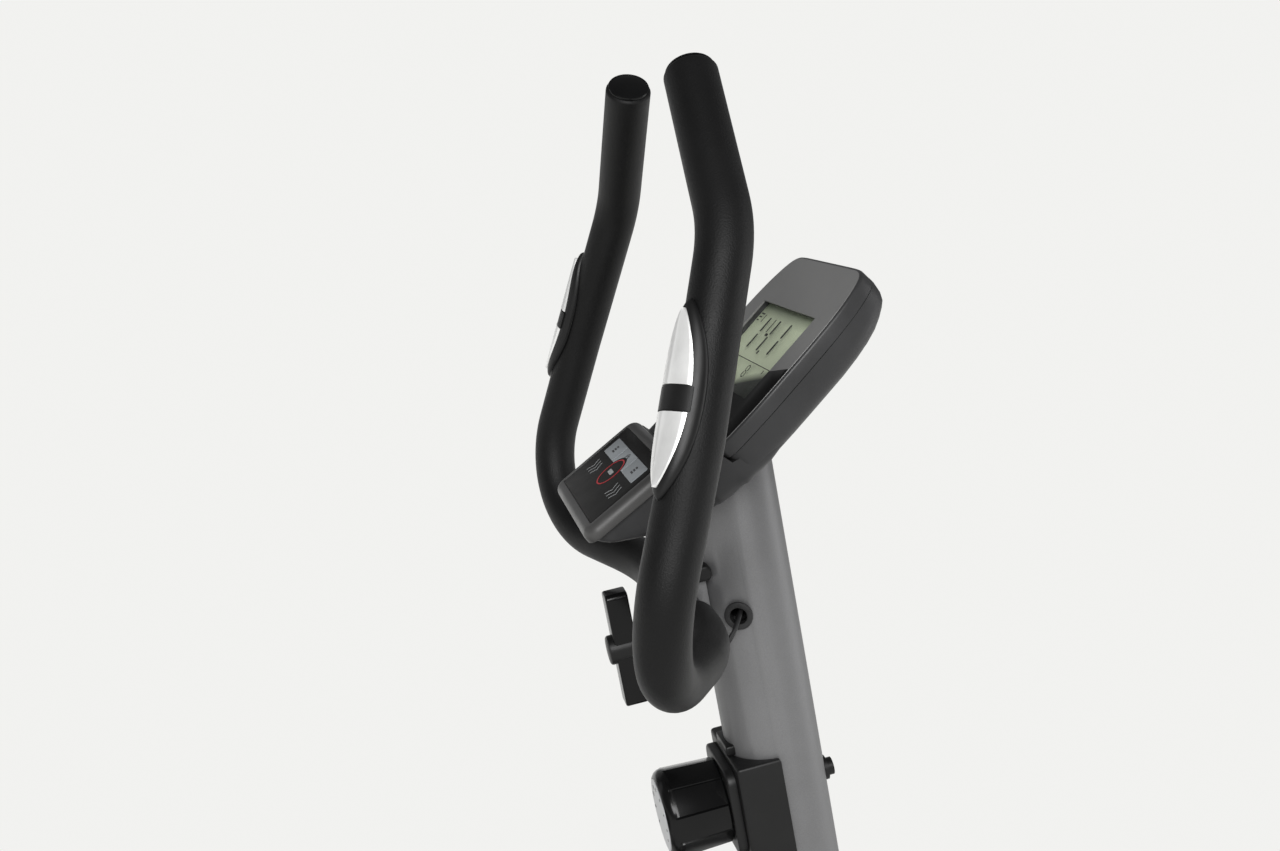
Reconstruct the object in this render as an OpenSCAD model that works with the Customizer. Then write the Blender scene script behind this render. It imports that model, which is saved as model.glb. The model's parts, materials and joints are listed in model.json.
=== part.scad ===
// Upright magnetic exercise bike. Millimetres, +X forwards, +Y to the rider's left, +Z up.
// The origin is on the floor at the middle of the footprint.

/* [Base] */
// Distance between the centre lines of the two stabilisers
wheelbase = 840; // [800:5:880]
// Length of the rear stabiliser tube
rear_foot_l = 440; // [400:5:470]
// Length of the front stabiliser tube
front_foot_l = 400; // [360:5:430]
// Outside diameter of the stabiliser tubes
foot_d = 50; // [45:1:55]
// Height of a stabiliser's centre line above the floor
foot_z = 34; // [32:1:36]
// Width of the main beam
beam_w = 40; // [36:1:40]
// Height of the main beam
beam_h = 70; // [60:1:76]
// Diameter of the transport wheels
wheel_d = 46; // [40:1:48]

/* [Front post] */
// Outside diameter of the front post
post_d = 69; // [66:1:70]
// Wall of the front post
post_wall = 2; // [1.5:0.1:3]
// Angle by which the front post leans back towards the rider
post_lean = 10.8; // [9:0.1:12]

/* [Handlebar] */
// Height of the clamped middle of the handlebar
bar_z = 975.5; // [960:0.5:990]
// Forward position of the clamped middle of the handlebar
bar_x = 141; // [135:1:147]
// Outside diameter of the handlebar tube
bar_d = 25.4; // [25:0.1:26]
// Outside diameter of the foam grips
grip_d = 33; // [31:0.5:34]
// Where each foam grip starts, from the middle of the bar
grip_start = 50; // [48:1:56]

/* [Console] */
// Angle of the display's face from the horizontal
face_angle = 48; // [46:0.5:50]
// Angle of the keypad from the horizontal
key_angle = 39; // [38:0.5:40]
// Half of the console's greatest width
face_half = 90; // [86:1:94]
// Wall of the console's shells
shell_t = 2.4; // [2:0.1:3]

/* [Resistance knob] */
// Height of the resistance knob's axis on the post
knob_z = 824; // [815:1:830]
// Diameter of the resistance knob
knob_d = 66; // [60:1:70]
// Length of the resistance knob
knob_l = 46; // [40:1:50]

/* [Drive] */
// Height of the crank's axis above the floor
crank_z = 290; // [285:1:300]
// Length of each crank arm
crank_l = 170; // [160:1:175]
// Angle of the right crank arm below the horizontal, at rest
crank_rest = 38; // [0:1:60]
// Diameter of the belt pulley on the crank
pulley_d = 210; // [200:1:215]
// Diameter of the flywheel
fly_d = 200; // [180:1:202]
// Width of the flywheel's rim
fly_w = 20; // [14:1:20]

/* [Seat] */
// Angle by which the seat tube leans back
seat_lean = 17; // [15:0.5:18]
// Outside diameter of the seat tube
seat_tube_d = 50; // [48:1:51]
// Outside diameter of the sliding seat post
seat_post_d = 38; // [34:1:38]
// Height of the saddle's mounting plate, at its lowest setting
saddle_z = 672; // [665:1:700]

/* [Housing] */
// Width across both housing shells
house_w = 117; // [115:1:118]
// Wall of the housing shells
house_t = 2.5; // [2:0.1:3]

/* [Hidden] */
$fn = 64;
gap = 0.3;
slack = 1;

// Base
foot_r = foot_d / 2;
base_shift = 6;
front_x = wheelbase / 2 - base_shift;
rear_x = -wheelbase / 2 - base_shift;
foot_wall = 2;
saddle_t = 3;
beam_wall = 2.5;
beam_z0 = foot_z + foot_r + saddle_t;
beam_z1 = beam_z0 + beam_h;
beam_x1 = front_x + 12;
beam_x0 = rear_x - 12;
bolt_gap = 29;
bolt_d = 8;
cradle_w = 78;
cap_over = 30;
cap_wall = 3;
wheel_r = wheel_d / 2;
wheel_x = front_x + 17;
wheel_y = front_foot_l / 2 + 12;
wheel_w = 20;
wheel_pin_r = 5;
wheel_z = wheel_r + 2.5;

// Post
post_r = post_d / 2;
post_in = post_r - post_wall;
bar_r = bar_d / 2;
bar_wall = 1.8;
cup_t = 2.5;
lean_t = tan(post_lean);
post_x0 = bar_x + (post_r + cup_t + bar_r) / cos(post_lean);
function post_x(z) = post_x0 + (bar_z - z) * lean_t;
post_z0 = 300;
post_z1 = 1116;
// The post is cut off parallel to the display's face, this far behind it
post_n = -30;
post_end_t = 3;
stub_r = post_in - gap;
stub_top = 470;
post_bolt_z = [330, 415];

// Handlebar's centre line: corners of the left side, from the middle to the horn's end
bar_mid = [bar_x, 0, bar_z];
bar_pts = [[0, 0, 0], [0, 100, 0], [-73, 236, 9.5], [-37, 206, 157.5], [-11, 170, 269.5], [-16, 99, 357.5]];
bar_radii = [0, 144, 69, 90, 82, 0];
grip_r = grip_d / 2;
grip_in = bar_r + 0.06;
// Straight runs of the bent tubes reach this far into the bends, and are this much thicker
weld = 0.5;
weld_r = 0.02;
// Pulse sensor on the left grip: its middle, the direction up the grip, and its turn about the grip
sensor_mid = [-32.9, 199.5, 176];
sensor_up = [22.8, -27.6, 97];
sensor_turn = -25;
wire_hole_y = -37.8;
wire_hole_r = 5;
wire_hole_a = 154;
tilt_room = 20;

// Clamp
clamp_w = 44;
strap_t = 3;
clamp_gap = 0.05;
bolt_drop = 24;
knob_arm_l = 84;
knob_hub_r = 10.5;

// Console
face_top = [247.8, 0, 1213.6];
face_l = 150;
key_low = [62.3, 0, 1045.9];
key_l = 79;
neck_l = 137.5;
key_half = 71;
strip_x = 53;
strip_step = 35;
lcd_top = -43;
lcd_l = 70;
lcd_half = 60;
seam_n = -13;
back_n = -41;
button_t = 2.2;

// Resistance knob
knob_base = [post_x(knob_z) - post_r / cos(post_lean), 0, knob_z];
base_side = 66;
knob_facets = 10;

// Drive
crank = [0, 0, crank_z];
fly = [165, 0, crank_z - 20];
fly_r = fly_d / 2;
pulley_r = pulley_d / 2;
small_r = 14.5;
belt_w = 12;
belt_t = 2.5;
belt_y = -34;
axle_r = 8.5;
shell_r = 21;
shell_l = 50;
arm_y = 72;
arm_t = 13;
pedal_y = 132;
pedal_l = 96;
pedal_w = 88;
pedal_t = 24;
strap_w = 44;
fly_axle_r = 6;
plate_t = 4;
plate_left = 20;
plate_right = -48;
brake_pivot = [fly.x - 70, 0, fly.z + 96];
brake_gap = 3;
brake_pin_r = 5;
sensor_x = 50;
brake_from = 62;
brake_to = 127;

// Seat
seat_t = tan(seat_lean);
function seat_x(z) = -45 - (z - crank_z) * seat_t;
seat_top = 560;
seat_r = seat_tube_d / 2;
seat_wall = 2;
sp_r = seat_post_d / 2;
sp_bottom = 340;
sp_l = (saddle_z - sp_bottom) / cos(seat_lean) - 6;
pin_z = 520;
pin_r = 5;
hole_step = 25;
seat_holes = 7;
saddle_x = seat_x(saddle_z) - 6;

// Housing
house_h = house_w / 2;
house_a = [-6, crank_z - 18];
house_ar = 160;
house_b = [250, crank_z - 36];
house_br = 140;

// ---------- helpers ----------

function unit(v) = v / norm(v);
function on_arc(c, r, a) = [c.x + r * cos(a), c.y + r * sin(a)];

// Children stand at p with their own Z along d
module along(p, d) {
  translate(p)
    rotate([0, acos(unit(d).z), atan2(d.y, d.x)])
      children();
}

// Children stand on the post's axis at height z, with their own Z up the post
module on_post(z) {
  translate([post_x(z), 0, z])
    rotate([0, -post_lean, 0])
      children();
}

// Children stand on the seat tube's axis at height z, with their own Z up the tube
module on_seat(z) {
  translate([seat_x(z), 0, z])
    rotate([0, -seat_lean, 0])
      children();
}

module on_face() {
  translate(face_top)
    rotate([0, -face_angle, 0])
      children();
}

module on_keys() {
  translate(key_low)
    rotate([0, -key_angle, 0])
      children();
}

module across(y0, y1, r) {
  translate([0, y0, 0])
    rotate([-90, 0, 0])
      cylinder(r = r, h = y1 - y0);
}

module tube_y(y0, y1, r, wall) {
  difference() {
    across(y0, y1, r);
    across(y0 - 1, y1 + 1, r - wall);
  }
}

module ring(r, r_in, h) {
  difference() {
    cylinder(r = r, h = h);
    translate([0, 0, -1])
      cylinder(r = r_in, h = h + 2);
  }
}

// Flat outline with rounded corners, centred
module rounded(w, l, r) {
  square([w - 2 * r, l], center = true);
  square([w, l - 2 * r], center = true);
  for (x = [-1, 1])
    for (y = [-1, 1])
      translate([x * (w / 2 - r), y * (l / 2 - r)])
        circle(r);
}

// Flat outline round two circles
module capsule(a, ra, b, rb) {
  d = norm(b - a);
  dir = atan2(b.y - a.y, b.x - a.x);
  t = acos((ra - rb) / d);
  translate(a)
    circle(ra);
  translate(b)
    circle(rb);
  polygon([on_arc(a, ra, dir + t), on_arc(a, ra, dir - t), on_arc(b, rb, dir - t), on_arc(b, rb, dir + t)]);
}

// The same outline as one polygon with fine arcs
module oval(a, ra, b, rb) {
  dir = atan2(b.y - a.y, b.x - a.x);
  t = acos((ra - rb) / norm(b - a));
  polygon(concat(
    [for (i = [0:48]) on_arc(a, ra, dir + t + (360 - 2 * t) * i / 48)],
    [for (i = [0:48]) on_arc(b, rb, dir - t + 2 * t * i / 48)]));
}

// Side view outline (X across, Z up) given a depth from y0 to y1
module side(y0, y1) {
  translate([0, y1, 0])
    rotate([90, 0, 0])
      linear_extrude(y1 - y0)
        children();
}

// Directions and tangent lengths of the handlebar's path
function bar_dir(i) = unit(bar_pts[i + 1] - bar_pts[i]);
function bar_turn(i) = acos(bar_dir(i - 1) * bar_dir(i));
function bar_tan(i) = bar_radii[i] == 0 ? 0 : bar_radii[i] * tan(bar_turn(i) / 2);

// One fillet of the path at corner i, as a ring sector between two radii
module bar_bend(i, r_out, r_in) {
  u = bar_dir(i - 1);
  v = bar_dir(i);
  w = unit(v - u * (u * v));
  n = unit(cross(u, v));
  c = bar_mid + bar_pts[i] - u * bar_tan(i) + w * bar_radii[i];
  multmatrix([
    [-w.x, u.x, n.x, c.x],
    [-w.y, u.y, n.y, c.y],
    [-w.z, u.z, n.z, c.z],
    [0, 0, 0, 1]
  ])
    rotate_extrude(angle = bar_turn(i))
      translate([bar_radii[i], 0])
        difference() {
          circle(r_out);
          circle(r_in);
        }
}

// Straight run of the path after corner i, starting at distance from0
module bar_run(i, r_out, r_in, from0) {
  start = i == 0 ? from0 : bar_tan(i) - weld;
  stop = norm(bar_pts[i + 1] - bar_pts[i]) - bar_tan(i + 1) + (i == 4 ? 0 : weld);
  along(bar_mid + bar_pts[i] + bar_dir(i) * start, bar_dir(i))
    difference() {
      cylinder(r = r_out + weld_r, h = stop - start);
      cylinder(r = r_in - weld_r, h = 4 * (stop - start), center = true);
    }
}

// The left half of a tube along the path, from a distance off the middle
module bar_half(r_out, r_in, from0) {
  for (i = [0:4])
    bar_run(i, r_out, r_in, from0);
  for (i = [1:4])
    bar_bend(i, r_out, r_in);
}

module both_sides() {
  children();
  mirror([0, 1, 0])
    children();
}

// ---------- base ----------

module foot_cradle(x) {
  difference() {
    translate([x - 20, -cradle_w / 2, foot_z + 8])
      cube([40, cradle_w, beam_z0 - foot_z - 8]);
    translate([x, 0, foot_z])
      across(-60, 60, foot_r + 0.1);
    bolt_holes(x);
  }
}

module bolt_holes(x) {
  for (y = [-1, 1])
    translate([x, y * bolt_gap, 0])
      cylinder(r = bolt_d / 2 + 0.3, h = beam_z0 + 4);
}

module fly_plate(y) {
  side(y, y + plate_t)
    difference() {
      polygon([
        [fly.x - 60, beam_z1 - 8], [fly.x + 60, beam_z1 - 8], [fly.x + 22, fly.z + 14],
        [fly.x - 8, fly.z + 30], [brake_pivot.x + 12, brake_pivot.z + 6],
        [brake_pivot.x - 10, brake_pivot.z + 6], [brake_pivot.x - 12, brake_pivot.z - 40]
      ]);
      translate([fly.x, fly.z])
        circle(fly_axle_r + 0.05);
      translate([brake_pivot.x, brake_pivot.z])
        circle(brake_pin_r + 0.05);
    }
}

module main_beam() {
  color("dimgray") {
    difference() {
      translate([beam_x0, -beam_w / 2, beam_z0])
        cube([beam_x1 - beam_x0, beam_w, beam_h]);
      translate([beam_x0 - 1, -beam_w / 2 + beam_wall, beam_z0 + beam_wall])
        cube([beam_x1 - beam_x0 + 2, beam_w - 2 * beam_wall, beam_h - 2 * beam_wall]);
      bolt_holes(front_x);
      bolt_holes(rear_x);
    }
    foot_cradle(front_x);
    foot_cradle(rear_x);
    fly_plate(plate_left);
    fly_plate(plate_right);
    translate([fly.x - 50, plate_right, beam_z1 - 4])
      cube([100, -beam_w / 2 - plate_right, plate_t]);
    post_stub();
  }
}

// Tube welded on the beam, over which the front post slides
module post_stub() {
  difference() {
    intersection() {
      on_post(beam_z1)
        translate([0, 0, -20])
          difference() {
            cylinder(r = stub_r, h = stub_top - beam_z1 + 20);
            translate([0, 0, -1])
              cylinder(r = stub_r - 2.5, h = stub_top - beam_z1 + 30);
          }
      translate([0, -100, beam_z1])
        cube([600, 200, 400]);
    }
    post_holes(bolt_d / 2 + 0.3);
    cable_hole();
  }
}

module post_holes(r) {
  for (z = post_bolt_z)
    on_post(z)
      rotate([-90, 0, 0])
        cylinder(r = r, h = 2 * post_d, center = true);
}

module cable_hole() {
  on_post(375)
    rotate([0, -90, 0])
      cylinder(r = 6, h = 60);
}

module stabiliser(x, l, d) {
  difference() {
    translate([x, 0, foot_z])
      tube_y(-l / 2, l / 2, d / 2, foot_wall);
    bolt_holes(x);
  }
}

module front_stabiliser() {
  color("dimgray") stabiliser(front_x, front_foot_l, foot_d);
}

module rear_stabiliser() {
  color("dimgray") stabiliser(rear_x, rear_foot_l, foot_d);
}

// Carriage bolt from below with a washer and a domed nut on the cradle
module carriage_bolt(x, y) {
  top = beam_z0 + 0.2;
  translate([x, y, foot_z - foot_r - 2.4])
    cylinder(r = bolt_d, h = 2.2);
  translate([x, y, foot_z - foot_r - 0.4])
    cylinder(r = bolt_d / 2, h = top - foot_z + foot_r + 6);
  translate([x, y, top])
    ring(bolt_d, bolt_d / 2 + 0.3, 1.6);
  translate([x, y, top + 1.8])
    cylinder(r = bolt_d * 0.82, h = 6.5, $fn = 6);
}

module stabiliser_bolts() {
  color("silver")
    for (x = [rear_x, front_x])
      for (y = [-bolt_gap, bolt_gap])
        carriage_bolt(x, y);
}

// Moulded end cap of a stabiliser: a cup over the tube's end with a flat sole
module end_cup(x, l, sole) {
  y0 = l / 2 - cap_over;
  difference() {
    union() {
      translate([x, 0, foot_z])
        across(y0, l / 2 + cap_wall, foot_r + cap_wall);
      translate([x - sole / 2, y0, 0])
        cube([sole, cap_over + cap_wall, foot_z - 8]);
    }
    translate([x, 0, foot_z])
      across(y0 - 1, l / 2 + 0.1, foot_r + 0.1);
    translate([x - 60, 0, -20])
      cube([120, 400, 20]);
  }
}

// Front cap with two ears that hold a transport wheel on a moulded pin
module front_cap() {
  ear_y = wheel_y + wheel_w / 2 + 0.8;
  difference() {
    end_cup(front_x, front_foot_l, 34);
    translate([wheel_x, wheel_y - wheel_w / 2 - 0.8, wheel_z])
      rotate([-90, 0, 0])
        cylinder(r = wheel_r + 1.5, h = 60);
  }
  translate([wheel_x, wheel_y - wheel_w / 2 - 1.7, wheel_z])
    rotate([-90, 0, 0])
      cylinder(r = wheel_pin_r, h = wheel_w + 4);
  difference() {
    side(ear_y, ear_y + 4)
      capsule([wheel_x, wheel_z], 12, [front_x - 14, foot_z + 6], 14);
    translate([wheel_x - 60, 0, -20])
      cube([200, 400, 20]);
  }
  difference() {
    side(wheel_y - wheel_w / 2 - 3, ear_y + 4)
      capsule([front_x - 14, foot_z + 6], 14, [front_x - 10, foot_z + 8], 14);
    translate([wheel_x, 0, wheel_z])
      across(0, 400, wheel_r + 1.5);
    translate([front_x, 0, foot_z])
      across(0, front_foot_l / 2 + 0.1, foot_r + 0.1);
  }
}

module front_caps() {
  color("#1c1c1c") both_sides() front_cap();
}

module wheel() {
  color("#262626")
    translate([wheel_x, wheel_y, wheel_z])
      rotate([-90, 0, 0])
        rotate_extrude()
          difference() {
            translate([wheel_pin_r + 0.08, -wheel_w / 2])
              square([wheel_r - wheel_pin_r - 0.08, wheel_w]);
            translate([wheel_r - 6, wheel_w / 2 - 3])
              square([2, 6]);
            translate([wheel_pin_r + 4, wheel_w / 2 - 3])
              square([8, 6]);
          }
}

// Rear cap that turns on the tube's end to level the bike: its sole is off centre
module rear_cap() {
  y0 = rear_foot_l / 2 - cap_over;
  color("#1c1c1c")
    difference() {
      union() {
        translate([rear_x, 0, foot_z])
          across(y0, rear_foot_l / 2 + cap_wall + 2, foot_r + cap_wall);
        translate([rear_x - 20, y0, 0])
          cube([40, cap_over + cap_wall + 2, foot_z - 10]);
      }
      translate([rear_x, 0, foot_z])
        across(y0 - 1, rear_foot_l / 2 + 0.4, foot_r + 0.06);
    }
}

// ---------- front post ----------

module post() {
  color("#4a4a4c") {
    difference() {
      union() {
        on_post(post_z0)
          cylinder(r = post_r, h = (post_z1 - post_z0) / cos(post_lean));
        clamp_cup();
      }
      difference() {
        on_post(post_z0)
          translate([0, 0, -1])
            cylinder(r = post_in, h = (post_z1 - post_z0) / cos(post_lean) + 2);
        above_face_level(post_n - post_end_t);
      }
      above_face_level(post_n);
      on_post(1000)
        cylinder(r = 12, h = 200);
      post_holes(bolt_d / 2 + 0.3);
      cable_hole();
      grommet_axis()
        cylinder(r = 8.05, h = 60, center = true);
      on_post(knob_z + 9)
        rotate([0, 90, 0])
          cylinder(r = 3.3, h = 120, center = true);
    }
  }
}

// Curved weld-on seat for the handlebar, with a lug for the clamp's bolt
module clamp_cup() {
  difference() {
    translate(bar_mid)
      rotate([0, -post_lean, 0])
        translate([1.5, -clamp_w / 2, -bolt_drop - 9])
          cube([bar_r + 4.5, clamp_w, bolt_drop + 9 + bar_r + 6]);
    translate(bar_mid)
      across(-60, 60, bar_r + clamp_gap);
    clamp_bolt_axis()
      cylinder(r = 4.3, h = 60, center = true);
  }
}

module clamp_bolt_axis() {
  translate(bar_mid)
    rotate([0, -post_lean, 0])
      translate([0, 0, -bolt_drop])
        rotate([0, -90, 0])
          children();
}

module grommet_axis() {
  on_post(bar_z)
    rotate([0, 0, 246])
      translate([post_r, 0, 0])
        rotate([0, 90, 0])
          children();
}

// Everything further out than a level n of the display's face
module above_face_level(n) {
  on_face()
    translate([-300, -100, n])
      cube([400, 200, 200]);
}

// Screw with a curved washer, pointing along its own Z from the post's skin outwards
module skin_screw(hole) {
  difference() {
    translate([0, 0, -6])
      cylinder(r = hole + 6, h = 8);
    rotate([0, 90, 0])
      translate([post_r, 0, 0])
        cylinder(r = post_r + 0.1, h = 60, center = true);
    translate([0, 0, -20])
      cylinder(r = hole + 0.2, h = 40);
  }
  translate([0, 0, -16])
    cylinder(r = hole, h = 18.2);
  translate([0, 0, 2.2])
    cylinder(r = hole + 3.5, h = 4.5);
}

module post_bolts() {
  color("#202020") {
    for (z = post_bolt_z)
      for (s = [-1, 1])
        on_post(z)
          rotate([0, 0, s * 90])
            translate([post_r, 0, 0])
              rotate([0, 90, 0])
                skin_screw(bolt_d / 2);
    on_post(knob_z + 9)
      translate([post_r, 0, 0])
        rotate([0, 90, 0])
          skin_screw(3);
  }
}

// ---------- housing ----------

module house_outline(inset) {
  oval(house_a, house_ar - inset, house_b, house_br - inset);
}

module house_half() {
  difference() {
    union() {
      side(gap / 2, house_h - 12)
        house_outline(0);
      side(gap / 2, house_h - 5)
        house_outline(5);
      side(gap / 2, house_h)
        house_outline(14);
    }
    side(-1, house_h - 12 - house_t)
      house_outline(house_t);
    side(-1, house_h - 5 - house_t)
      house_outline(5 + house_t);
    side(-1, house_h - house_t)
      house_outline(14 + house_t);
    translate(crank)
      across(0, 100, 15);
    translate([-500, -1, beam_z0 - slack])
      cube([1000, beam_w / 2 + 1 + slack, beam_h + 2 * slack]);
    on_post(100)
      cylinder(r = post_r + slack, h = 500);
    on_seat(250)
      cylinder(r = seat_r + slack, h = 300);
    screw_spots(2.2, 60);
  }
}

house_screws = [[-116, 380], [-112, 210], [70, 152], [250, 186], [268, 352], [100, 410]];

module screw_spots(r, h) {
  for (p = house_screws)
    translate([p.x, house_h - 14, p.y])
      rotate([-90, 0, 0])
        cylinder(r = r, h = h);
}

module housing_left() {
  color("#2b2c2e") house_half();
}

module housing_right() {
  color("#2b2c2e") mirror([0, 1, 0]) house_half();
}

module cover_screws() {
  color("#202020") {
    both_sides()
      for (p = house_screws)
        translate([p.x, 0, p.y]) {
          across(house_h - 13, house_h + 0.1, 2);
          across(house_h + 0.1, house_h + 2.2, 4);
        }
    console_screw_spots() {
      translate([0, 0, -2.6])
        cylinder(r = 3.5, h = 2.5);
      cylinder(r = 1.6, h = 9);
    }
  }
}

// ---------- drive ----------

module crank_axle() {
  color("silver")
    translate(crank) {
      across(-arm_y - 8, arm_y + 8, axle_r);
      both_sides()
        translate([0, arm_y + 8.7, 0])
          rotate([-90, 0, 0])
            cylinder(r = 9, h = 5, $fn = 6);
    }
}

module bearings() {
  color("silver") {
    translate(crank)
      both_sides()
        translate([0, shell_l / 2 - 13, 0])
          rotate([-90, 0, 0])
            ring(shell_r - 3 - 0.05, axle_r + 0.05, 12);
    translate(fly)
      for (y = [-6, 4])
        translate([0, y, 0])
          rotate([-90, 0, 0])
            ring(14, fly_axle_r + 0.02, 8);
  }
}

module belt_pulley() {
  color("#151515")
    translate([0, belt_y, 0])
      translate(crank)
        rotate([90, 0, 0])
          difference() {
            rotate_extrude()
              translate([axle_r + 0.02, 0])
                polygon([
                  [0, -8], [16, -8], [16, -3], [pulley_r - 22, -3], [pulley_r - 20, -belt_w / 2 - 1],
                  [pulley_r - 8.5, -belt_w / 2 - 1], [pulley_r - 8.5, belt_w / 2 + 1],
                  [pulley_r - 20, belt_w / 2 + 1], [pulley_r - 22, 3], [16, 3], [16, 8], [0, 8]
                ]);
            for (a = [0:60:300])
              rotate([0, 0, a])
                translate([pulley_r * 0.52, 0, -10])
                  cylinder(r = 19, h = 20);
          }
}

// Crank arm along its own X, thickness about its own Z
module arm() {
  difference() {
    union() {
      linear_extrude(arm_t, center = true)
        oval([0, 0], 17, [crank_l, 0], 13);
      cylinder(r = 19, h = arm_t + 4, center = true);
    }
    cylinder(r = axle_r + 0.02, h = 60, center = true);
    translate([crank_l, 0, 0])
      cylinder(r = 6.02, h = 60, center = true);
  }
}

// Puts a crank arm's own frame on one side: s is 1 on the left and -1 on the right
module on_arm(s) {
  translate([0, s * arm_y, crank_z])
    rotate([0, s > 0 ? 180 + crank_rest : crank_rest, 0])
      rotate([90, 0, 0])
        children();
}

function pedal_at(s) = [-s * crank_l * cos(crank_rest), 0, crank_z + s * crank_l * sin(crank_rest)];

module crank_left() {
  color("#1a1a1a") on_arm(1) arm();
}

module crank_right() {
  color("#1a1a1a") on_arm(-1) arm();
}

module pedal_spindles() {
  color("silver")
    for (s = [-1, 1])
      translate(pedal_at(s))
        mirror([0, s > 0 ? 0 : 1, 0]) {
          across(arm_y - 6, pedal_y + pedal_w / 2 - 8, 6);
          across(arm_y + arm_t / 2 + 0.4, arm_y + arm_t / 2 + 4, 10);
        }
}

// Moulded platform pedal on the left side, its spindle at the origin along Y
module pedal() {
  y0 = pedal_y - pedal_w / 2;
  color("#161616")
    difference() {
      union() {
        translate([0, pedal_y, 0])
          linear_extrude(pedal_t, center = true)
            difference() {
              rounded(pedal_l, pedal_w, 14);
              for (x = [-1, 1])
                for (y = [-1, 1])
                  translate([x * 27, y * 19])
                    rounded(26, 26, 5);
            }
        across(y0, y0 + pedal_w - 4, 10);
      }
      across(y0 - 1, y0 + pedal_w - 6, 6.06);
    }
}

// Toe strap: a band that arches over the foot, fixed to the pedal's two long edges
module strap() {
  color("#0f0f0f")
    difference() {
      translate([0, pedal_y, 0])
        rotate([90, 0, 90])
          translate([0, 0, -strap_w / 2])
            linear_extrude(strap_w)
              difference() {
                strap_arch(4);
                strap_arch(0);
                translate([-80, -80])
                  square([160, 80 - pedal_t / 2 + 2]);
              }
      across(0, pedal_y, 7);
    }
}

module strap_arch(t) {
  w = pedal_w / 2 + 0.3 + t;
  translate([0, 8]) {
    circle(w);
    translate([-w, -60])
      square([2 * w, 60]);
  }
}

module on_pedal(s) {
  translate(pedal_at(s))
    mirror([0, s > 0 ? 0 : 1, 0])
      children();
}

module flywheel() {
  color("#55565a")
    translate(fly)
      rotate([-90, 0, 0])
        rotate_extrude()
          polygon([
            [14.02, -6], [14.02, 12], [30, 12], [34, 7], [fly_r - 34, 7], [fly_r - 30, 12], [fly_r, 12],
            [fly_r, 12 - fly_w], [fly_r - 30, 12 - fly_w], [fly_r - 34, -3], [34, -3], [30, 12 - fly_w],
            [small_r + 3, 12 - fly_w], [small_r + 3, belt_y + 8], [small_r, belt_y + 8],
            [small_r, belt_y - 8], [fly_axle_r + 1.5, belt_y - 8], [fly_axle_r + 1.5, -6]
          ]);
}

// Fixed axle of the flywheel with its nuts, and the pin on which the brake arm swings
module drive_pins() {
  color("silver")
    translate(fly) {
      across(plate_right - 7, plate_left + plate_t + 7, fly_axle_r);
      translate([0, plate_left + plate_t + 0.1, 0])
        rotate([-90, 0, 0])
          nut();
      translate([0, plate_right - 6.1, 0])
        rotate([-90, 0, 0])
          nut();
    }
  color("silver")
    translate(brake_pivot) {
      across(-10, plate_left + plate_t + 2, brake_pin_r);
      across(plate_left + plate_t + 0.1, plate_left + plate_t + 4, brake_pin_r + 3);
    }
}

module nut() {
  difference() {
    cylinder(r = 10, h = 6, $fn = 6);
    translate([0, 0, -1])
      cylinder(r = fly_axle_r + 0.05, h = 8);
  }
}

module drive_belt() {
  color("#101010")
    side(belt_y - belt_w / 2, belt_y + belt_w / 2)
      difference() {
        belt_line(belt_t + 0.4);
        belt_line(0.4);
      }
}

module belt_line(t) {
  capsule([crank.x, crank.z], pulley_r + t, [fly.x, fly.z], small_r + t);
}

// Curved arm over the flywheel's top, with its magnets facing the rim
module brake_bracket() {
  r0 = fly_r + brake_gap;
  color("#9a9a9c")
    difference() {
      union() {
        translate(fly)
          rotate([90, 0, 0])
            translate([0, 0, -12])
              rotate_extrude(angle = brake_to - brake_from, start = brake_from)
                translate([r0, 0])
                  square([14, fly_w]);
        translate(brake_pivot)
          across(-8, 12, 11);
      }
      translate(brake_pivot)
        across(-20, 40, brake_pin_r + 0.05);
      translate(fly)
        across(-40, 40, r0);
    }
}

module brake_cable() {
  color("#101010")
    polyhedron(points = sweep_points(cable_pts, 2.5, 8, [0, 1, 0]), faces = sweep_faces(len(cable_pts), 8));
}

cable_pts = [
  [226, 0, 800], [232, 0, 770], [240, 0, 730], [250, 0, 680], [260, 0, 630], [269, 0, 580], [277, 0, 530],
  [285, 0, 480], [291, 0, 440], [295, 0, 410], [296, 0, 394], [292, 0, 381], [285, 0, 373], [276, 0, 369],
  [266, 0, 367], [256, 0, 366], [247, 0, 366]
];

function sweep_dir(p, i) = unit(p[min(i + 1, len(p) - 1)] - p[max(i - 1, 0)]);
function sweep_side(p, i, v) = unit(cross(sweep_dir(p, i), v));
function sweep_points(p, r, n, v) = [
  for (i = [0:len(p) - 1])
    for (k = [0:n - 1])
      p[i] + r * (cos(360 * k / n) * sweep_side(p, i, v)
        + sin(360 * k / n) * cross(sweep_side(p, i, v), sweep_dir(p, i)))
];
function sweep_faces(m, n) = concat(
  [[for (k = [0:n - 1]) k]],
  [for (i = [0:m - 2]) for (k = [0:n - 1])
    [i * n + k, (i + 1) * n + k, (i + 1) * n + (k + 1) % n]],
  [for (i = [0:m - 2]) for (k = [0:n - 1])
    [i * n + k, (i + 1) * n + (k + 1) % n, i * n + (k + 1) % n]],
  [[for (k = [n - 1:-1:0]) (m - 1) * n + k]]
);

module speed_sensor() {
  color("#303030")
    {
      translate([sensor_x, -26, 196])
        cube([16, 14, 24]);
      translate([sensor_x + 5, -18, beam_z1 + 0.05])
        cube([6, 4, 70]);
    }
}

// ---------- seat ----------

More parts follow.
